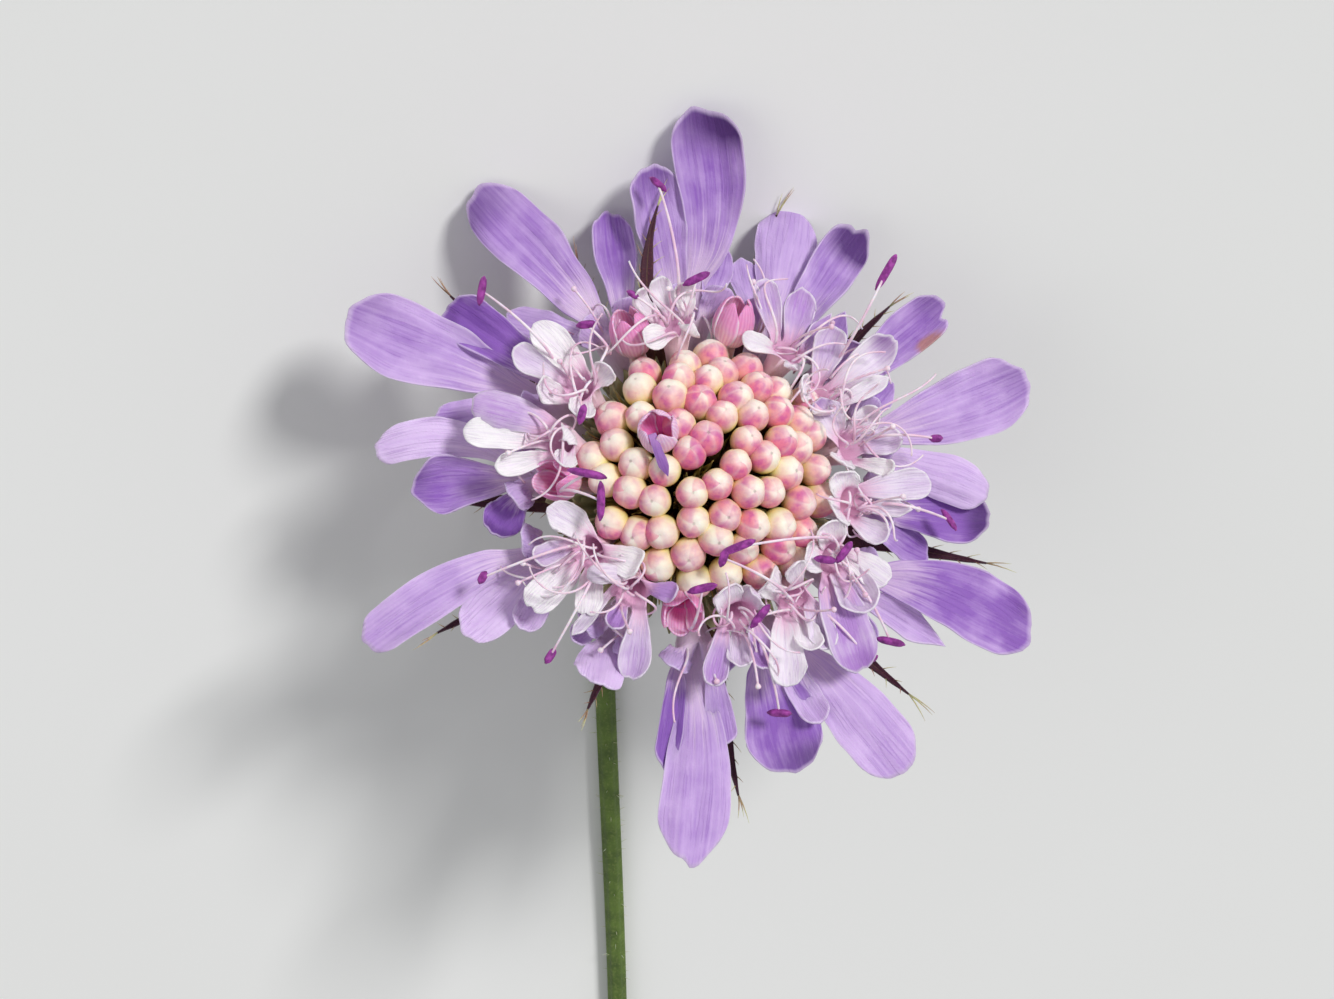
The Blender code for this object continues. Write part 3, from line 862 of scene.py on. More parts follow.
# %% [markdown]
# ## Buds that are opening
#
# Five round lobes are still wrapped into a ball, each with one margin outside its neighbour and
# one inside. A plain ball could not show that, so each lobe is its own sheet over the ball that
# starts on the shared ring of the tube. Its outside is pink and its inside magenta.

# %% Finishes of the opening buds
def bud_petal_finish(name, low, high, vein):
    finish = Finish(name, Subsurface_Weight=0.25, Subsurface_Scale=0.4 * MM, Specular_IOR_Level=0.35)
    edge, along = finish.mark("edge"), finish.mark("along")
    patches, grain = finish.noise(0.7), finish.noise(0.1, 2.0)
    lines = ((edge * 4.0 + patches) * math.pi).sine()
    colour = finish.mix((along + (patches - 0.5) * 0.6).step(0.0, 0.9), low, high)
    colour = finish.mix((lines * lines * 0.35).clamp(), colour, vein)
    colour = finish.mix(edge.step(0.8, 1.0) * 0.8, colour, srgb(252, 236, 244))
    return finish.surface(colour, 0.4 + patches * 0.2, patches * 0.6 + grain * 0.3, 0.05)


BALL_BACK = bud_petal_finish(
    "opening_bud_outside", low=srgb(249, 216, 216), high=srgb(240, 160, 208), vein=srgb(210, 84, 164)
)
BALL_FACE = bud_petal_finish(
    "opening_bud_inside", low=srgb(240, 112, 184), high=srgb(253, 206, 236), vein=srgb(222, 96, 172)
)
print("bud petal finishes:", BALL_BACK.material.name, BALL_FACE.material.name)

# %% A ball of wrapped lobes
FIRST_LATITUDE = -64.0
BALL_LOBES = 5
BALL_SEGMENTS = 12
BALL_STEPS = 16


def ball_point(foot, throat, radius, last_latitude, stretch, lobe, across, level):
    """A point of one lobe of the ball: across from -1 to 1, and up from its foot."""
    lobe_latitude = last_latitude + 9.0 * math.sin(lobe * 2.4)
    rise = math.radians(FIRST_LATITUDE + (lobe_latitude - FIRST_LATITUDE) * level)
    half = 36.0 + 12.0 * smooth(level * 2) - 14.0 * level**3
    turn = 360 / BALL_LOBES * (lobe - 2) + across * half
    ball = radius * (1.0 + 0.07 * across * smooth(level * 2) + 0.05 * (1 - across**2))
    ball *= 1.0 + 0.14 * smooth((level - 0.6) / 0.4)
    axis = (throat - foot).normalized()
    out = wall_direction(foot, throat, turn) * math.cos(rise) + axis * math.sin(rise) * stretch
    return throat + out * ball


def add_opening_ball(shape, foot, throat, radius, last_latitude, stretch):
    """A narrow tube and, on its rim, five lobes round a ball about the throat."""
    neck = throat - (throat - foot).normalized() * radius * 0.9
    profile = ((0.0, 0.27), (0.1, 0.36), (0.25, 0.28), (0.8, 0.4), (1.0, 0.42 * radius))
    rings = []
    for step in range(TUBE_STEPS + 1):
        level = step / TUBE_STEPS
        ring = []
        for i in range(BALL_LOBES * BALL_SEGMENTS):
            edge = abs(2.0 * (i % BALL_SEGMENTS) / BALL_SEGMENTS - 1.0)
            angle = 360 * i / (BALL_LOBES * BALL_SEGMENTS) - 180.0
            out = wall_direction(foot, throat, angle) * profile_radius(profile, level)
            ring.append(shape.point(foot.lerp(neck, level) + out, edge, 0.3 * (level - 1.0)))
        rings.append(ring)
    shape.skin(rings)
    rim = ring + ring[:1]
    for lobe in range(BALL_LOBES):
        rows = [rim[lobe * BALL_SEGMENTS : (lobe + 1) * BALL_SEGMENTS + 1]]
        for step in range(1, BALL_STEPS + 1):
            t = step / BALL_STEPS
            row = []
            for k in range(BALL_SEGMENTS + 1):
                across = math.sin(math.pi / 2 * (2.0 * k / BALL_SEGMENTS - 1.0))
                level = t * (1.0 - 0.3 * abs(across) ** 2.5)
                place = ball_point(foot, throat, radius, last_latitude, stretch, lobe, across, level)
                row.append(shape.point(place, abs(across), t))
            rows.append(row)
        shape.skin(rows, closed=False, base=False)

# %% The opening buds
class OpeningBud(NamedTuple):
    turn: float  # degrees from its place in the ring
    shift: float  # outwards
    latitude: float  # that its lobes' tips have reached on the ball


OPENING_BUDS = (
    OpeningBud(0, 0.1, 64),
    OpeningBud(-6, 0.2, 58),
    OpeningBud(-8, -0.3, 46),
    OpeningBud(0, -0.7, 34),
)


def make_opening_bud(number, azimuth, bud):
    shape = Shape(turned(azimuth + bud.turn), "edge", "along")
    throat = INNER_THROAT + Vector((bud.shift - 0.2, 0.0, 0.3))
    add_opening_ball(shape, INNER_FOOT, throat, 0.92, bud.latitude, 1.3)
    name = f"opening_bud_{number}"
    make_piece(name, shape, (BALL_BACK, BALL_FACE), (name,), PETAL_THICKNESS)


for number, (place, bud) in enumerate(zip(OPENING_BUD_PLACES, OPENING_BUDS), 1):
    make_opening_bud(number, inner_azimuths[place], bud)
print("opening buds:", len(OPENING_BUD_PLACES))

# %% [markdown]
# ## The cups of the florets
#
# Each floret stands in a small papery funnel, ribbed and green below and pale and frilled at its
# rim. They are what shows, in the shade, wherever two florets part. One function turns such a
# funnel round a floret's tube, and all the funnels of one ring are one piece.

# %% The finish of the cups
def cup_finish():
    finish = Finish(
        "floret_cup", Subsurface_Weight=0.15, Subsurface_Scale=0.3 * MM, Specular_IOR_Level=0.3
    )
    ribs, along = finish.mark("rib"), finish.mark("along")
    patches, grain = finish.noise(0.6), finish.noise(0.1, 2.0)
    paleness = (along + (patches - 0.5) * 0.4).step(0.3, 1.0)
    colour = finish.mix(paleness, srgb(96, 112, 52), srgb(206, 206, 158))
    colour = finish.mix((ribs * 0.6).clamp(), colour, srgb(74, 88, 40))
    return finish.surface(colour, 0.5 + grain * 0.2, ribs * 0.6 + grain * 0.4, 0.04)

# %% The floret cups
CUP_THICKNESS = 0.06
CUP_STEPS = 10
CUP_SIDES = 40


def add_cup(shape, azimuth, foot, throat, rim_radius):
    """A funnel that is closed at its foot. It has a rib every 45 degrees and a finer frill."""
    rings = []
    for step in range(CUP_STEPS + 1):
        t = step / CUP_STEPS
        ring = []
        for k in range(CUP_SIDES):
            rib = 0.5 + 0.5 * math.cos(2 * math.pi * k / 5)
            frill = 0.06 * math.sin(2 * math.pi * k / 4 + azimuth) * smooth((t - 0.7) / 0.3)
            radius = 0.5 + (rim_radius - 0.5) * t**1.6 + 0.02 * rib
            radius *= 0.1 + 0.9 * smooth(t / 0.12)
            out = wall_direction(foot, throat, 360 * k / CUP_SIDES) * radius
            place = foot + (throat - foot) * (0.68 * t - 0.06 + frill) + out
            ring.append(shape.point(turned(azimuth) @ place, rib, t))
        rings.append(ring)
    shape.skin(rings, base=False)


def make_cups(name, azimuths, foot, throat, rim_radius):
    shape = Shape(Matrix.Identity(4), "rib", "along")
    for azimuth in azimuths:
        add_cup(shape, azimuth, foot, throat, rim_radius)
    make_piece(name, shape, (CUP, CUP), (), CUP_THICKNESS)


CUP = cup_finish()
make_cups("inner_floret_cups", inner_azimuths, INNER_FOOT, INNER_THROAT, 0.98)
make_cups("ray_floret_cups", [azimuth for azimuth, _ in RAY_FLORETS], RAY_FOOT, RAY_THROAT, 1.35)
print("floret cups:", len(inner_azimuths) + len(RAY_FLORETS))

# %% [markdown]
# ## The dome of closed buds
#
# The closed buds follow the same rule as the seeds of a sunflower: each is turned 137.5 degrees
# from the one before, on rings of equal area, which packs them evenly with no rows to plan. Each
# bud is a ball of five folded lobes that meet at its tip in a faint star. It is cream at its
# sides and blushes rose to magenta towards the tip, more on some buds than on others.

# %% Bud finish
BUD_MARKS = ("level", "blush", "lean", "seam")


def bud_finish():
    finish = Finish(
        "bud",
        Subsurface_Weight=0.25,
        Subsurface_Radius=(1.0, 0.6, 0.5),
        Subsurface_Scale=0.4 * MM,
        Specular_IOR_Level=0.4,
    )
    level, blush, lean, seam = [finish.mark(mark) for mark in BUD_MARKS]
    patches, grain = finish.noise(0.5), finish.noise(0.09, 2.0)
    # Cream to yellow-green are the bud's own colours; the brown at the foot is painted shade down in the
    # gaps.
    side = level.ramp(
        (0.0, srgb(250, 240, 228)),
        (0.12, srgb(255, 246, 232)),
        (0.4, srgb(254, 242, 206)),
        (0.55, srgb(246, 232, 152)),
        (0.7, srgb(212, 192, 104)),
        (0.86, srgb(136, 84, 56)),
    )
    rosy = finish.mix(patches.step(0.35, 0.65), srgb(238, 132, 158), srgb(210, 94, 160))
    # The extra blush from lean is painted shade, on each bud's side away from the key lamp.
    redness = blush + lean * 0.5 - (level - 0.34).size() * 1.5 + (patches - 0.5) * 0.7
    colour = finish.mix(redness.step(-0.25, 1.1), side, rosy)
    colour = finish.mix(seam * 0.3, colour, srgb(252, 236, 226))
    dark_tip = (1 - level.step(0.0, 0.055)) * patches.step(0.35, 0.6) * 0.7
    colour = finish.mix(dark_tip, colour, srgb(124, 108, 90))
    return finish.surface(colour, 0.36 + patches * 0.2, patches * 0.5 + grain * 0.3, 0.05)


# %% Where each bud stands
DOME_CENTRE = Vector((0.0, 0.0, -5.6))
DOME_RADIUS = 8.8
DOME_EDGE = 47.7
DOME_LEAN = Vector((0.035, 0.03, 0.0))
BUD_COUNT = 63
BUD_TURN = 137.508
FIRST_BUD_TURN = 204.0
BUD_ROWS = 8
HALF_OPEN_BUD = 18
BUD_LOBES = 5
LOBE_SIDES = 6
BUD_STRETCH = 1.08
BALL_RINGS = 16
FIRST_TILT = 3.0  # degrees from its tip to the ball's first ring
LAST_TILT = 151.0  # and to its last one, where its foot begins
FOOT_RINGS = 5
FOOT_RADIUS = 0.2
FOOT_END = 2.95  # from the dome's centre


def bud_direction(number):
    share = (number - 0.5) / BUD_COUNT
    rise = 1.0 - share * (1.0 - math.cos(math.radians(DOME_EDGE)))
    turn = number * BUD_TURN + FIRST_BUD_TURN
    return (polar(turn, math.sqrt(1.0 - rise * rise), rise) + DOME_LEAN).normalized()

# %% One bud
def add_bud(shape, number):
    """A ball of five folded lobes on a thin foot, ring by ring from its tip down."""
    draw = random.Random(number)
    out = bud_direction(number)
    age = number / BUD_COUNT
    size = 0.79 + 0.08 * age + draw.uniform(-0.05, 0.06)
    top = DOME_RADIUS + draw.uniform(-0.15, 0.12)
    across = out.cross(UP).normalized()
    ahead = across.cross(out)
    out = (out + across * draw.uniform(-0.025, 0.025) + ahead * draw.uniform(-0.025, 0.025)).normalized()
    blush = 0.75 - 0.4 * age + draw.uniform(-0.25, 0.25)
    blushes = [blush + draw.uniform(-0.35, 0.35) for _ in range(BUD_LOBES)]
    # Painted shade: this side, to the lower left and away from the key lamp, is where lean adds more blush.
    shaded_side = polar(draw.uniform(180, 270), 1.0, 0.0)
    star_turn = draw.uniform(0, 6)
    centre = top - size * BUD_STRETCH
    levels = []
    for i in range(BALL_RINGS + 1):
        tilt = math.radians(FIRST_TILT + (LAST_TILT - FIRST_TILT) * i / BALL_RINGS)
        levels.append((centre + size * BUD_STRETCH * math.cos(tilt), size * math.sin(tilt), tilt))
    foot_top, foot_radius, last_tilt = levels[-1]
    for i in range(1, FOOT_RINGS + 1):
        share = i / FOOT_RINGS
        radius = foot_radius + (FOOT_RADIUS - foot_radius) * smooth(share * 2)
        levels.append((foot_top + (FOOT_END - foot_top) * share, radius, last_tilt))
    rings = []
    for place, radius, tilt in levels:
        ring = []
        fade = smooth((2.1 - tilt) / 1.2)
        dent = 0.09 * math.exp(-((tilt / 0.25) ** 2))
        for k in range(BUD_LOBES * LOBE_SIDES):
            turn = star_turn + 0.35 * tilt - 2 * math.pi * k / (BUD_LOBES * LOBE_SIDES)
            fullness = math.sin(math.pi * (k % LOBE_SIDES / LOBE_SIDES) ** 0.75)
            bulge = 1.0 + fade * (0.08 * fullness - 0.06) - 0.012 * math.sin(3 * turn + number)
            outward = around(across, ahead, turn)
            spot = DOME_CENTRE + out * (place - dent) + outward * radius * bulge
            lean = shaded_side.dot(outward) * math.sin(tilt)
            seam = (1 - fullness) ** 2 * fade
            ring.append(shape.point(spot, tilt / last_tilt, blushes[k // LOBE_SIDES], lean, seam))
        rings.append(ring)
    shape.skin(rings, lid=True)

# %% The bud rows
BUD = bud_finish()
for first in range(1, BUD_ROWS + 1):
    shape = Shape(HEAD, *BUD_MARKS)
    for number in range(first, BUD_COUNT + 1, BUD_ROWS):
        if number != HALF_OPEN_BUD:
            add_bud(shape, number)
    name = f"bud_row_{first}"
    make_piece(name, shape, (BUD,), (name,))
print("closed buds:", BUD_COUNT - 1, "in rows of", BUD_ROWS)

# %% [markdown]
# ## The bud that opened early
#
# One bud near the middle of the dome is ahead of the rest. It is the same wrapped ball, and one
# violet lobe has already slipped out and hangs over its neighbour.

# %% The half-open bud
LEAN_RIGHT = Vector((0.4, -0.05, 0.0))
out = bud_direction(HALF_OPEN_BUD)
throat = DOME_CENTRE + out * 8.7 + LEAN_RIGHT
shape = Shape(HEAD, "edge", "along")
add_opening_ball(shape, DOME_CENTRE + out * 4.0, throat, 0.9, 56.0, 1.0)
PALE_BACK = bud_petal_finish(
    "half_open_outside", low=srgb(246, 216, 214), high=srgb(240, 204, 230), vein=srgb(206, 120, 186)
)
make_piece("half_open_bud", shape, (PALE_BACK, BALL_FACE), (), PETAL_THICKNESS)
print("half-open bud: number", HALF_OPEN_BUD, "of", BUD_COUNT)

# %% The lobe that has slipped out
def make_loose_lobe(name, start, tip, lobe):
    """One lobe by itself, from a short arc at start."""
    shape = Shape(HEAD, *MARKS)
    side = (tip - start).cross(UP).normalized() * 0.2
    arc = []
    for k in range(13):
        across = (k - 6) / 6
        arc.append(shape.point(start + side * across, abs(across), 0.0, lobe.tone, 0.0, 0.0))
    add_lobe(shape, arc, tip, lobe, 18)
    make_piece(name, shape, (SLIPPED, SLIPPED), (), PETAL_THICKNESS)


# Its dark colour is the colour of painted shade, as on the other petals.
SLIPPED = petal_finish(
    "slipped_petal",
    claw=srgb(186, 136, 204),
    pale=srgb(190, 146, 214),
    deep=srgb(134, 80, 170),
    dark=srgb(98, 48, 134),
    rim=srgb(206, 168, 222),
    vein_strength=0.2,
)
slipped = Lobe(0, 2.0, 0.24, 0, tone=0.5, curl=0.05, fold=0.3, point=0.4, shade=0.4, waist=0.7, rise=12)
make_loose_lobe("slipped_lobe", spread(147.5, 2.9, 3.05), spread(196.0, 1.8, 3.1), slipped)
print("width of the slipped lobe:", 2 * slipped.half_width, "mm")

# %% [markdown]
# ## Scales between the buds
#
# Down between the buds stand thin brown scales with olive tips, which keep the gaps of the dome
# from being plain black holes. Directions are dealt out by the golden angle again, many more than
# there are buds, and only those that fall well clear of every bud get a scale.

# %% Finishes of scales and awns
def awn_finish(name, low, high):
    finish = Finish(name, Specular_IOR_Level=0.35)
    along = finish.mark("along")
    patches, grain = finish.noise(0.6), finish.noise(0.1, 2.0)
    colour = finish.mix((along + (patches - 0.5) * 0.6).step(0.2, 0.9), low, high)
    return finish.surface(colour, 0.5 + grain * 0.2, grain * 0.6 + patches * 0.3, 0.04)


SCALE = awn_finish("bud_scale", srgb(104, 76, 50), srgb(206, 186, 108))
AWN = awn_finish("calyx_awn", srgb(120, 92, 60), srgb(84, 34, 52))
print("finishes between the buds:", SCALE.material.name, AWN.material.name)

# %% A flattened spike
BLADE_STEPS = 8
BLADE_SIDES = 8
BLADE_FLATNESS = 0.45


def add_blade(shape, root, tip, radius):
    """A flattened spike that swells and then tapers, with `along` marked from root to tip."""
    ahead = (tip - root).normalized()
    side = ahead.orthogonal().normalized()
    flat = ahead.cross(side)
    rings = []
    for step in range(BLADE_STEPS + 1):
        t = step / BLADE_STEPS
        width = radius * (0.5 + 1.1 * smooth(t * 2)) * (1.0 - smooth((t - 0.45) / 0.55) * 0.94)
        ring = []
        for k in range(BLADE_SIDES):
            out = around(side * BLADE_FLATNESS, flat, 2 * math.pi * k / BLADE_SIDES)
            ring.append(shape.point(root.lerp(tip, t) + out * width, t))
        rings.append(ring)
    shape.skin(rings, lid=True)

# %% The scales
SCALE_TRIES = 1200
SCALE_CLEARANCE = 0.098  # radians from the middle of the nearest bud
buds = [bud_direction(number) for number in range(1, BUD_COUNT + 1)]
shape = Shape(HEAD, "along")
count = 0
for number in range(1, SCALE_TRIES):
    rise = 1.0 - 0.38 * number / SCALE_TRIES
    out = (polar(number * BUD_TURN, math.sqrt(1.0 - rise * rise), rise) + DOME_LEAN).normalized()
    if max(out.dot(bud) for bud in buds) < math.cos(SCALE_CLEARANCE):
        top = 7.5 + 0.5 * math.sin(number * 1.9)
        add_blade(shape, DOME_CENTRE + out * 2.9, DOME_CENTRE + out * top, 0.16)
        count += 1
make_piece("bud_scales", shape, (SCALE,))
print("scales between the buds:", count)

# %% [markdown]
# ## Awns at the dome's edge
#
# Awns are the stiff dark bristles of a floret's calyx. Most are hidden, but around the outermost
# buds a few can be seen, so these get two each. They are the same flattened spikes as the scales,
# only thinner, and the same helper draws them.

# %% The awns
AWNED_BUDS = 25
shape = Shape(HEAD, "along")
for number in range(BUD_COUNT + 1 - AWNED_BUDS, BUD_COUNT + 1):
    draw = random.Random(500 + number)
    out = bud_direction(number)
    for _ in range(2):
        lean = Vector((draw.uniform(-1, 1), draw.uniform(-1, 1), -0.4)) * 0.12
        root = DOME_CENTRE + (out + lean * 0.5) * 5.5
        tip = DOME_CENTRE + (out + lean) * draw.uniform(7.6, 8.6)
        add_blade(shape, root, tip, 0.05)
make_piece("calyx_awns", shape, (AWN,))
print("awns:", 2 * AWNED_BUDS)

# %% [markdown]
# ## Stamens
#
# Each floret sends out stamens: a thin white thread, the filament, with a purple anther across
# its end. An anther is two grooved halves side by side, which a ring that is pinched in the
# middle gives. A few are spread over the head where they catch the eye.

# %% Finishes of the stamens
def anther_finish():
    finish = Finish("anther", Specular_IOR_Level=0.4, Sheen_Weight=0.1)
    patches, grain = finish.noise(0.3), finish.noise(0.06, 2.0)
    colour = finish.mix(patches.step(0.3, 0.75), srgb(112, 22, 112), srgb(176, 70, 172))
    return finish.surface(colour, 0.45 + grain * 0.25, grain * 0.6 + patches * 0.4, 0.04)


def thread_finish(name, colour, tip):
    finish = Finish(name, Subsurface_Weight=0.15, Subsurface_Scale=0.2 * MM, Specular_IOR_Level=0.4)
    patches = finish.noise(1.0)
    blend = patches.step(0.35, 0.65)
    return finish.surface(finish.mix(blend, colour, tip), 0.42 + patches * 0.12, patches, 0.02)


ANTHER = anther_finish()
FILAMENT = thread_finish("filament", srgb(250, 236, 244), srgb(236, 196, 220))
print("stamen finishes:", ANTHER.material.name, FILAMENT.material.name)

# %% Where each stamen ends
class Stamen(NamedTuple):
    azimuth: float
    radius: float
    height: float
    turn: float  # of the anther, from +X
    foot_azimuth: float
    foot_radius: float
    foot_height: float
    length: float = 1.35
    tilt: float = 10.0  # of the anther up from level


STAMENS = (
    Stamen(46, 13.3, 3.0, 60, 40, 8.6, 0.0, length=1.9, tilt=20),
    Stamen(89, 9.4, 1.9, 24, 97, 7.6, 0.2),
    Stamen(138, 13.5, 0.6, 80, 143, 9.0, -0.4),
    Stamen(95, 14.6, 0.4, -45, 98, 8.4, 0.0, length=1.0),
    Stamen(230, 11.1, 0.3, 235, 221, 7.6, 0.6, length=0.8),
    Stamen(268, 5.7, 2.5, 12, 262, 7.6, 0.2),
    Stamen(291, 7.4, 1.8, 50, 300, 7.7, 0.0),
    Stamen(331, 7.9, 1.5, 52, 325, 8.0, -0.1, length=1.2),
    Stamen(325, 7.3, 1.5, -10, 325, 8.0, -0.1, length=1.0),
    Stamen(320, 12.3, -0.2, -15, 324, 8.4, -0.4),
    Stamen(314, 12.1, -0.6, 20, 308, 8.3, -0.4, length=0.9),
    Stamen(289, 11.9, -0.4, -5, 285, 8.2, -0.2, length=1.1),
    Stamen(9, 12.1, 0.7, 0, 12, 8.6, 0.0, length=0.6),
    Stamen(352, 13.0, -1.0, -60, 350, 8.6, -0.2, length=1.2),
    Stamen(184, 5.6, 3.2, -14, 188, 7.3, 0.9, length=1.8),
    Stamen(198, 5.2, 2.9, -94, 188, 7.3, 0.9, length=1.9),
    Stamen(291, 4.1, 3.0, 20, 330, 6.8, 0.6, length=1.7),
    Stamen(280, 4.4, 2.95, 70, 300, 7.2, 0.6, length=0.8),
    Stamen(154, 6.2, 2.0, 75, 150, 7.2, 0.5, length=0.9),
    Stamen(108, 9.2, 1.3, 150, 104, 7.4, 0.4, length=0.6),
    Stamen(125, 8.9, 1.1, 5, 128, 7.4, 0.2, length=0.9),
    Stamen(205, 11.3, 0.4, 60, 209, 7.4, 0.4, length=0.6),
)

# %% Building the stamens
FILAMENT_STEPS = 24
ANTHER_STEPS = 14
ANTHER_RADIUS = 0.2


def make_stamen(number, stamen):
    """A filament that arches up from a floret's throat, and the anther across its end."""
    middle = spread(stamen.azimuth, stamen.radius, stamen.height)
    foot = polar(stamen.foot_azimuth, stamen.foot_radius, stamen.foot_height)
    span = (middle - foot).length
    rise = UP * span * 0.45 + (middle - foot) * 0.1
    curve = (foot, foot + rise, middle.lerp(foot, 0.3) + UP * span * 0.25, middle)
    shape = Shape(HEAD)
    shares = [i / FILAMENT_STEPS for i in range(FILAMENT_STEPS + 1)]
    shape.tube([bezier(*curve, t) for t in shares], [0.085 - 0.03 * t for t in shares], 8)
    tilt = math.radians(stamen.tilt)
    ahead = polar(stamen.turn, math.cos(tilt), math.sin(tilt))
    centres, radii = [], []
    for i in range(ANTHER_STEPS + 1):
        place = 2.0 * i / ANTHER_STEPS - 1.0
        reach = math.sin(place * math.pi / 2)
        bow = UP * 0.1 * stamen.length * (1 - place**2)
        centres.append(middle + ahead * 0.5 * stamen.length * reach + bow)
        radii.append(ANTHER_RADIUS * max(0.12, 1.0 - abs(reach) ** 3.5) ** 0.5)
    shape.finish = 1
    shape.tube(centres, radii, 16, section=lambda turn: 1.0 - 0.28 * abs(math.cos(turn)) ** 6)
    make_piece(f"stamen_{number}", shape, (FILAMENT, ANTHER))


for number, stamen in enumerate(STAMENS, 1):
    make_stamen(number, stamen)
print("stamens:", len(STAMENS))

# %% [markdown]
# ## Loose threads
#
# Where an anther has dropped, its filament is left and curls. Every floret also sends out a
# style, a thread that ends in a small knob. A curl is drawn as a walk whose heading turns by the
# same amount at each step, which is how a thread that has dried on one side bends.

# %% A curl
def curl_line(start, heading, bend_axis, length, turn, steps):
    """Points of a walk from start that turns by turn degrees in all."""
    points = [start]
    place = start
    ahead = heading.normalized()
    step_turn = Matrix.Rotation(math.radians(turn / steps), 3, bend_axis)
    for _ in range(steps):
        ahead = step_turn @ ahead
        place = place + ahead * length / steps
        points.append(place)
    return points

# %% Filaments and styles
THREAD_STEPS = 20
STYLE_STEPS = 16
KNOB = ((0.06, 0.11), (0.14, 0.15), (0.22, 0.14), (0.28, 0.07))  # distance past the end, radius
THREAD_TAPER = [0.075 - 0.03 * i / THREAD_STEPS for i in range(THREAD_STEPS + 1)]


def add_threads(shape, draw, azimuth, radius, height, count):
    """Filaments that have lost their anthers, curled either way from about one throat."""
    for _ in range(count):
        start = polar(azimuth + draw.uniform(-6, 6), radius + draw.uniform(-0.8, 0.3), height)
        out = polar(azimuth + draw.uniform(-80, 80), 1.0, draw.uniform(0.9, 2.4))
        axis = Vector((draw.uniform(-1, 1), draw.uniform(-1, 1), draw.uniform(-0.6, 0.6))).normalized()
        turn = draw.choice((-1, 1)) * draw.uniform(160, 420)
        line = curl_line(start, out, axis, draw.uniform(3.0, 5.5), turn, THREAD_STEPS)
        shape.tube(line, THREAD_TAPER, 6)


def add_style(shape, draw, azimuth, radius, height):
    """A thread with a round knob."""
    start = polar(azimuth, radius, height)
    out = polar(azimuth + draw.uniform(-30, 30), 1.0, draw.uniform(1.2, 2.4))
    axis = Vector((draw.uniform(-1, 1), draw.uniform(-1, 1), 0.0)).normalized()
    line = curl_line(start, out, axis, draw.uniform(2.0, 3.4), draw.uniform(-70, 70), STYLE_STEPS)
    end = line[-1]
    ahead = (end - line[-2]).normalized()
    line += [end + ahead * past for past, _ in KNOB]
    shape.tube(line, [0.06] * (STYLE_STEPS + 1) + [radius for _, radius in KNOB], 8)

# %% Placing the threads
INNER_THREADS = 6
RAY_THREADS = 2
threads, styles = Shape(HEAD), Shape(HEAD)
for number, azimuth in enumerate(open_azimuths):
    draw = random.Random(300 + number)
    add_threads(threads, draw, azimuth, 7.4, 0.6, INNER_THREADS)
    add_style(styles, draw, azimuth, 7.7, 0.0)
for number, (azimuth, _) in enumerate(RAY_FLORETS):
    draw = random.Random(400 + number)
    add_threads(threads, draw, azimuth, 8.6, -1.8, RAY_THREADS)
    add_style(styles, draw, azimuth + 3, 8.5, -1.8)
make_piece("curled_filaments", threads, (FILAMENT,))
make_piece("styles", styles, (FILAMENT,))
print("threads:", INNER_THREADS * len(open_azimuths) + RAY_THREADS * len(RAY_FLORETS))

# %% [markdown]
# ## Green and dark finishes
#
# What holds the florets up runs from green to a purple so dark that it is nearly black. None of
# it has a pattern that the eye could follow, so soft noise of two sizes does for all of it. The
# green finish also reads `cut`, which is marked only where the stem was picked: it shows pale
# flesh there, and a darker pith in its middle.

# %% Green and dark finishes
def green_finish(name, low, high, streak):
    finish = Finish(name, Specular_IOR_Level=0.35, Sheen_Weight=0.04)
    patches, grain = finish.noise(1.2), finish.noise(0.15, 3.0)
    colour = finish.mix((patches * 0.8 + 0.2).step(0.2, 0.9), low, high)
    colour = finish.mix(grain.step(0.5, 0.7) * 0.3, colour, streak)
    cut = finish.mark("cut")
    colour = finish.mix(cut.step(0.1, 0.5), colour, srgb(206, 214, 158))
    colour = finish.mix(cut.step(0.85, 1.0) * 0.7, colour, srgb(140, 146, 92))
    return finish.surface(colour, 0.5 + grain * 0.2, grain * 0.5 + patches * 0.3, 0.06)


STEM_SKIN = green_finish("stem_skin", srgb(46, 64, 24), srgb(98, 122, 50), srgb(136, 146, 88))
CUSHION = green_finish("cushion", srgb(64, 48, 36), srgb(110, 104, 52), srgb(60, 30, 40))


def bract_finish():
    finish = Finish("bract", Specular_IOR_Level=0.35, Sheen_Weight=0.1)
    edge, along = finish.mark("edge"), finish.mark("along")
    patches, grain = finish.noise(0.8), finish.noise(0.12, 3.0)
    colour = (along + (patches - 0.5) * 0.5).ramp(
        (0.0, srgb(110, 112, 60)),
        (0.25, srgb(104, 72, 48)),
        (0.5, srgb(70, 24, 42)),
        (1.0, srgb(58, 16, 36)),
    )
    colour = finish.mix((1 - edge.step(0.0, 0.2)) * 0.4, colour, srgb(120, 104, 60))
    colour = finish.mix(grain.step(0.55, 0.75) * 0.35, colour, srgb(130, 60, 70))
    return finish.surface(colour, 0.5 + grain * 0.2, grain * 0.6 + patches * 0.3, 0.06)


BRACT = bract_finish()
BRISTLE = thread_finish("bristle", srgb(206, 206, 150), srgb(170, 130, 110))
DOWN = thread_finish("stem_down", srgb(190, 200, 160), srgb(220, 224, 200))
print("green and dark finishes:", *(f.material.name for f in (STEM_SKIN, CUSHION, BRACT)))

# %% [markdown]
# ## The cushion
#
# The cushion, or receptacle, is the stem's swollen end, which carries every floret. The buds hide
# it, but without it one could look between them right through the head. A ball would do for its
# top. A body that follows a short profile can also narrow below, where it meets the stem.

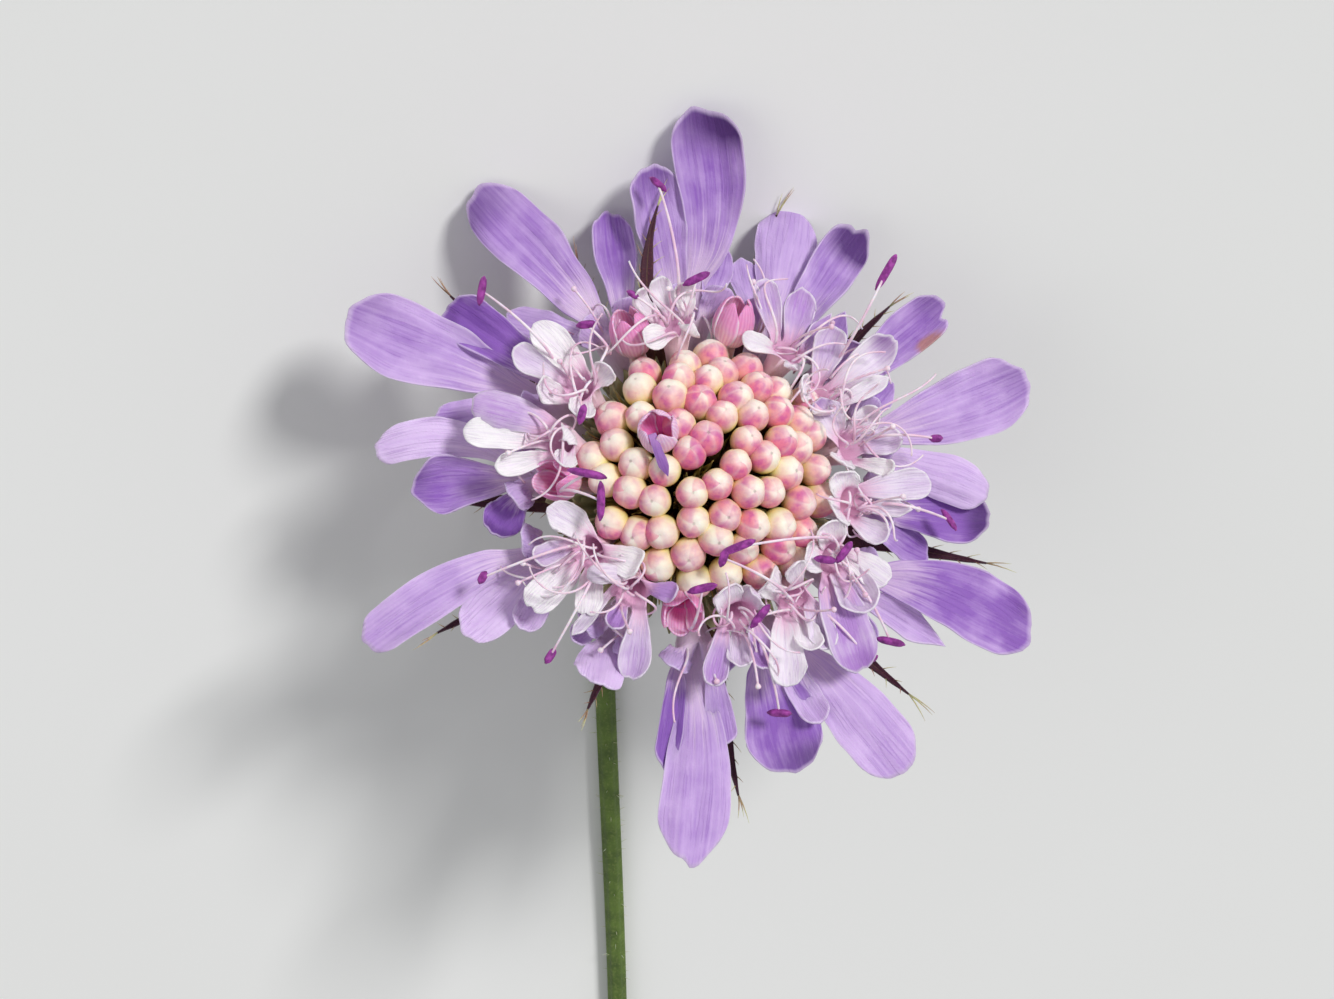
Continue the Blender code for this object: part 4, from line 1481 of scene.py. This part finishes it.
# %% The cushion
CUSHION_RADIUS = 2.75
cushion_profile = [(-1.6, 1.16), (-1.2, 1.7), (-0.75, 2.5), (-0.3, 2.7)]  # height, radius
for i in range(1, 9):
    tilt = math.radians(10.5 * i)
    cushion_profile.append((CUSHION_RADIUS * math.sin(tilt), CUSHION_RADIUS * math.cos(tilt)))
shape = Shape(HEAD)
centres = [DOME_CENTRE + UP * height for height, _ in cushion_profile]
radii = [radius for _, radius in cushion_profile]
shape.tube(centres, radii, 48, section=lambda turn: 1.0 + 0.03 * math.cos(16 * turn))
make_piece("receptacle", shape, (CUSHION,), ("receptacle",))
print("rings of the cushion:", len(cushion_profile))

# %% [markdown]
# ## The bracts
#
# Bracts are the small leaves that wrapped the head while it was a bud. They show between the rays
# as dark narrow points with pale bristles on their margins. Each is a sheet along a curve, and a
# short table gives its width, so that all of them taper alike. All their bristles are one piece,
# because as objects of their own they would only make a long list.

# %% Where the bracts point, and their shape
BRACTS = (  # azimuth, reach and height of the tip
    (41, 15.0, -4.4),
    (69, 15.4, -3.75),
    (111, 12.6, -4.6),
    (137, 15.0, -4.8),
    (180, 11.5, -5.4),
    (209, 13.6, -5.0),
    (246, 11.4, -5.0),
    (280, 15.0, -4.6),
    (319, 15.1, -4.6),
    (348, 16.1, -4.6),
)
INNER_BRACT = ((105, 3.1, -5.0), (105, 6.8, -2.4), (110, 9.8, -0.2), (97.5, 13.7, -0.9))
BRACT_WIDTHS = ((0, 0.5), (0.14, 0.72), (0.3, 0.66), (0.5, 0.5), (0.72, 0.32), (0.9, 0.14), (1, 0.03))
BRACT_THICKNESS = 0.14
BRACT_STEPS = 26
BRACT_SEGMENTS = 10
BRISTLES = 26
TIP_BRISTLES = 3


def bract_point(curve, side, t, across):
    half_width = profile_radius(BRACT_WIDTHS, t) * (1.0 + 0.05 * math.sin(17 * t))
    up = side.cross(bezier_slope(*curve, t)).normalized()
    lift = half_width * (0.35 * abs(across) + 0.05 * math.sin(11 * t + 2 * across))
    return bezier(*curve, t) + side * half_width * across + up * lift

# %% Building the bracts
def make_bract(name, curve, place, hairs):
    """A bract along a curve, and its bristles among the hairs of all the bracts."""
    shape = Shape(place, "edge", "along")
    side = (curve[3] - curve[0]).cross(UP).normalized()
    rows = []
    for step in range(BRACT_STEPS + 1):
        t = step / BRACT_STEPS
        row = []
        for k in range(BRACT_SEGMENTS + 1):
            across = 2.0 * k / BRACT_SEGMENTS - 1.0
            row.append(shape.point(bract_point(curve, side, t, across), abs(across), t))
        rows.append(row)
    shape.skin(rows, closed=False, base=False)
    make_piece(name, shape, (BRACT,), (name,), BRACT_THICKNESS)
    draw = random.Random(len(name) + int(curve[3].x * 10))
    move = HEAD.inverted() @ place
    for i in range(BRISTLES):
        t = 0.1 + 0.86 * i / (BRISTLES - 1)
        across = 1.0 if i % 2 else -1.0
        root = bract_point(curve, side, t, across)
        ahead = bezier_slope(*curve, t).normalized()
        out = side * across * draw.uniform(0.3, 1.0) + ahead * draw.uniform(0.5, 1.2)
        out += UP * draw.uniform(-0.2, 0.5)
        add_hair(hairs, move @ root, move.to_3x3() @ out.normalized(), draw.uniform(0.3, 0.7), 0.03)
    for _ in range(TIP_BRISTLES):
        out = ahead + side * draw.uniform(-0.25, 0.25) + UP * draw.uniform(-0.1, 0.3)
        add_hair(hairs, move @ curve[3], move.to_3x3() @ out.normalized(), draw.uniform(0.9, 1.7), 0.045)


def add_hair(shape, root, direction, length, radius):
    """A thin tapering hair with a slight bend."""
    bend = direction.cross(UP) * length * 0.12
    centres = [root + direction * length * t + bend * t * t for t in (0.0, 0.35, 0.7, 1.0)]
    shape.tube(centres, [radius, radius * 0.8, radius * 0.5, radius * 0.15], 5)


BRACT_ROOT = Vector((2.75, 0.0, -6.6))
BRACT_SAG = Vector((0.0, 0.0, -0.7))
hairs = Shape(HEAD)
for number, (azimuth, reach, height) in enumerate(BRACTS, 1):
    tip = spread(azimuth, reach, height, azimuth)
    middle = [BRACT_ROOT.lerp(tip, share) + BRACT_SAG for share in (0.33, 0.67)]
    curve = (BRACT_ROOT, *middle, tip)
    make_bract(f"bract_{number}", curve, turned(azimuth), hairs)
make_bract("inner_bract", [polar(*point) for point in INNER_BRACT], HEAD, hairs)
make_piece("bract_bristles", hairs, (BRISTLE,))
print("bracts:", len(BRACTS) + 1)

# %% [markdown]
# ## The stem
#
# The stem is bare, with eight low ribs and a short down. It bends sharply under the head and then
# runs along the table, so it is drawn along two Bezier curves that meet where it touches down.
# A curve object with a round bevel would be quicker, but rings of our own also give the ribs,
# the flare under the cushion, and a cut end with its own colours.

# %% The line of the stem
STEM_RADIUS = 0.6
STEM_SIDES = 40
NECK_TOP = 7.4
NECK_JOIN = 0.5
NECK_STEPS = 60
LYING_STEPS = 120
STEM_TOUCHES = Vector((-1.5, 10.6, STEM_RADIUS))
STEM_RUN = Vector((-0.11, 1.0, 0.0)).normalized()
STEM_END = Vector((2.2, -45.5, STEM_RADIUS))
STEM_END_RUN = Vector((0.06, 1.0, 0.0)).normalized()


def stem_line():
    """The stem's middle from under the cushion, round the neck, and out along the table."""
    axis = HEAD.to_3x3() @ UP
    top = HEAD_PLACE - axis * NECK_TOP
    bend = (top - STEM_TOUCHES).length * 0.4
    stretch = (STEM_TOUCHES - STEM_END).length / 3
    top += axis * NECK_JOIN
    neck = (top, top - axis * bend, STEM_TOUCHES + STEM_RUN * bend, STEM_TOUCHES)
    last_bends = (STEM_TOUCHES - STEM_RUN * stretch, STEM_END + STEM_END_RUN * stretch)
    lying = (STEM_TOUCHES, *last_bends, STEM_END)
    upper = [bezier(*neck, i / NECK_STEPS) for i in range(NECK_STEPS)]
    return upper + [bezier(*lying, i / LYING_STEPS) for i in range(LYING_STEPS + 1)]

# %% The stem's body
centres = stem_line()
radii = []
for i in range(len(centres)):
    flare = 0.7 * max(0.0, 1.0 - i / 12) ** 2
    radii.append(0.94 * STEM_RADIUS * (1.0 + flare))
shape = Shape(Matrix(), "cut")
# Each ring of the cut end: how far past the line's end, share of the radius, and `cut`.
cut_rings = ((0.01, 0.98, 0.0), (0.04, 0.93, 0.5), (0.05, 0.55, 0.7), (0.055, 0.22, 1.0))
shape.tube(
    centres + [STEM_END - STEM_END_RUN * past for past, _, _ in cut_rings],
    radii + [radii[-1] * share for _, share, _ in cut_rings],
    STEM_SIDES,
    0.0,
    section=lambda turn: 1.0 + 0.055 * math.cos(8 * turn),
)
cut_marks = [cut for *_, cut in cut_rings for _ in range(STEM_SIDES)]
shape.marks["cut"][-len(cut_marks) :] = cut_marks
make_piece("stem", shape, (STEM_SKIN,), ("stem",))
length = sum((b - a).length for a, b in zip(centres, centres[1:]))
print("length of the stem in millimetres:", round(length, 1))

# %% The down on the stem
STEM_HAIRS = 420
draw = random.Random(7)
down = Shape(Matrix())
for _ in range(STEM_HAIRS):
    i = int(len(centres) * draw.random() ** 1.8 * 0.96) + 1
    ahead = (centres[i + 1] - centres[i]).normalized()
    side = ahead.orthogonal().normalized()
    side.rotate(Matrix.Rotation(draw.uniform(0, 2 * math.pi), 3, ahead))
    root = centres[i] + side * radii[i] * 0.98
    if root.z > 0.35:  # not where the stem lies on the table
        lean = (side - ahead * draw.uniform(-0.2, 0.6)).normalized()
        add_hair(down, root, lean, draw.uniform(0.2, 0.45), 0.018)
make_piece("stem_down", down, (DOWN,))
print("faces of the stem's down:", len(down.faces))

# %% [markdown]
# ## Floor, light and camera
#
# The table is a pale floor. A soft key lamp shines from the upper right, a weak and very soft one
# fills in from the left, and the world adds an even light. The world shows the camera, and
# reflections, a plain pale grey instead, which a Light Path node chooses. The flower's face leans
# back, so the camera looks down on it, about 15 degrees off the head's axis.

# %% The floor
def floor_finish():
    finish = Finish("floor", Specular_IOR_Level=0.0)
    patches = finish.noise(40.0)
    colour = finish.mix(patches, srgb(243, 243, 240), srgb(247, 247, 245))
    return finish.surface(colour, 1.0, patches, 0.01)


FLOOR_REACH = 3.0  # metres
mesh = bpy.data.meshes.new("floor")
corners = [(x * FLOOR_REACH, y * FLOOR_REACH, 0.0) for x, y in ((-1, -1), (1, -1), (1, 1), (-1, 1))]
mesh.from_pydata(corners, [], [(0, 1, 2, 3)])
mesh.materials.append(floor_finish().material)
floor = add_object("floor", mesh)
floor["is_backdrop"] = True
print("floor:", 2 * FLOOR_REACH, "m wide")

# %% The camera
RIGHT = Vector((0.985, 0.090, 0.149))
PICTURE_UP = Vector((0.0, 0.856, -0.517))
BACK = Vector((-0.174, 0.510, 0.843))
EYE_DISTANCE = 130.0
EYE_LEFT = 1.78
EYE_DOWN = 1.61

apex = HEAD @ spread(0.0, 0.0, 3.2)
camera = add_object("camera", bpy.data.cameras.new("camera"))
camera.data.lens = 75.0
camera.data.clip_start = 0.01
eye = apex + BACK * EYE_DISTANCE - RIGHT * EYE_LEFT - PICTURE_UP * EYE_DOWN
facing = Matrix((RIGHT, PICTURE_UP, BACK)).transposed().to_4x4()
camera.matrix_world = Matrix.Translation(eye * MM) @ facing
bpy.context.scene.camera = camera
print("camera:", EYE_DISTANCE, "mm from the dome")

# %% The lamps
LAMP_DISTANCE = 600.0


def add_lamp(name, direction, width, strength):
    """A far lamp, width radians wide. With strength 1, it alone would light a white card fully."""
    lamp = bpy.data.lights.new(name, "SUN")
    lamp.angle = width
    lamp.energy = strength * math.pi
    thing = add_object(name, lamp)
    thing.location = (apex + direction.normalized() * LAMP_DISTANCE) * MM
    thing.rotation_mode = "QUATERNION"
    thing.rotation_quaternion = direction.to_track_quat("Z", "Y")


add_lamp("key", RIGHT * 0.5 + PICTURE_UP * 0.3 + BACK * 0.81, width=0.23, strength=0.66)
add_lamp("fill", RIGHT * -0.6 + PICTURE_UP * -0.3 + BACK * 0.8, width=0.75, strength=0.1)

# %% The world
WORLD_STRENGTH = 0.34
world = bpy.data.worlds.new("studio")
world.use_nodes = True
nodes, links = world.node_tree.nodes, world.node_tree.links
light = nodes["Background"]
light.inputs["Color"].default_value = (0.95, 0.97, 1.0, 1.0)
light.inputs["Strength"].default_value = WORLD_STRENGTH
backdrop = nodes.new("ShaderNodeBackground")
backdrop.inputs["Color"].default_value = (*srgb(220, 221, 222), 1.0)
path = nodes.new("ShaderNodeLightPath")
seen = path.outputs["Is Camera Ray"]
for ray in ("Is Glossy Ray", "Is Transmission Ray"):
    either = nodes.new("ShaderNodeMath")
    either.operation = "MAXIMUM"
    links.new(seen, either.inputs[0])
    links.new(path.outputs[ray], either.inputs[1])
    seen = either.outputs[0]
surround = nodes.new("ShaderNodeMixShader")
for socket, source in enumerate((seen, light.outputs[0], backdrop.outputs[0])):
    links.new(source, surround.inputs[socket])
links.new(surround.outputs[0], nodes["World Output"].inputs["Surface"])
bpy.context.scene.world = world
bpy.context.scene.view_settings.view_transform = "Standard"
print("world light:", WORLD_STRENGTH)

# %% [markdown]
# ## Sizes, and the end
#
# The last cell prints the size of the box round the collision model and round the finished
# model that stands for it.

# %% Sizes, and the end
boxes = {"cad": [list(corner) for corner in cad_box], "visual": [list(corner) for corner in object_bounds()]}
for name, (low, high) in boxes.items():
    print(name, "size in millimetres:", [round((b - a) / MM, 1) for a, b in zip(low, high)])
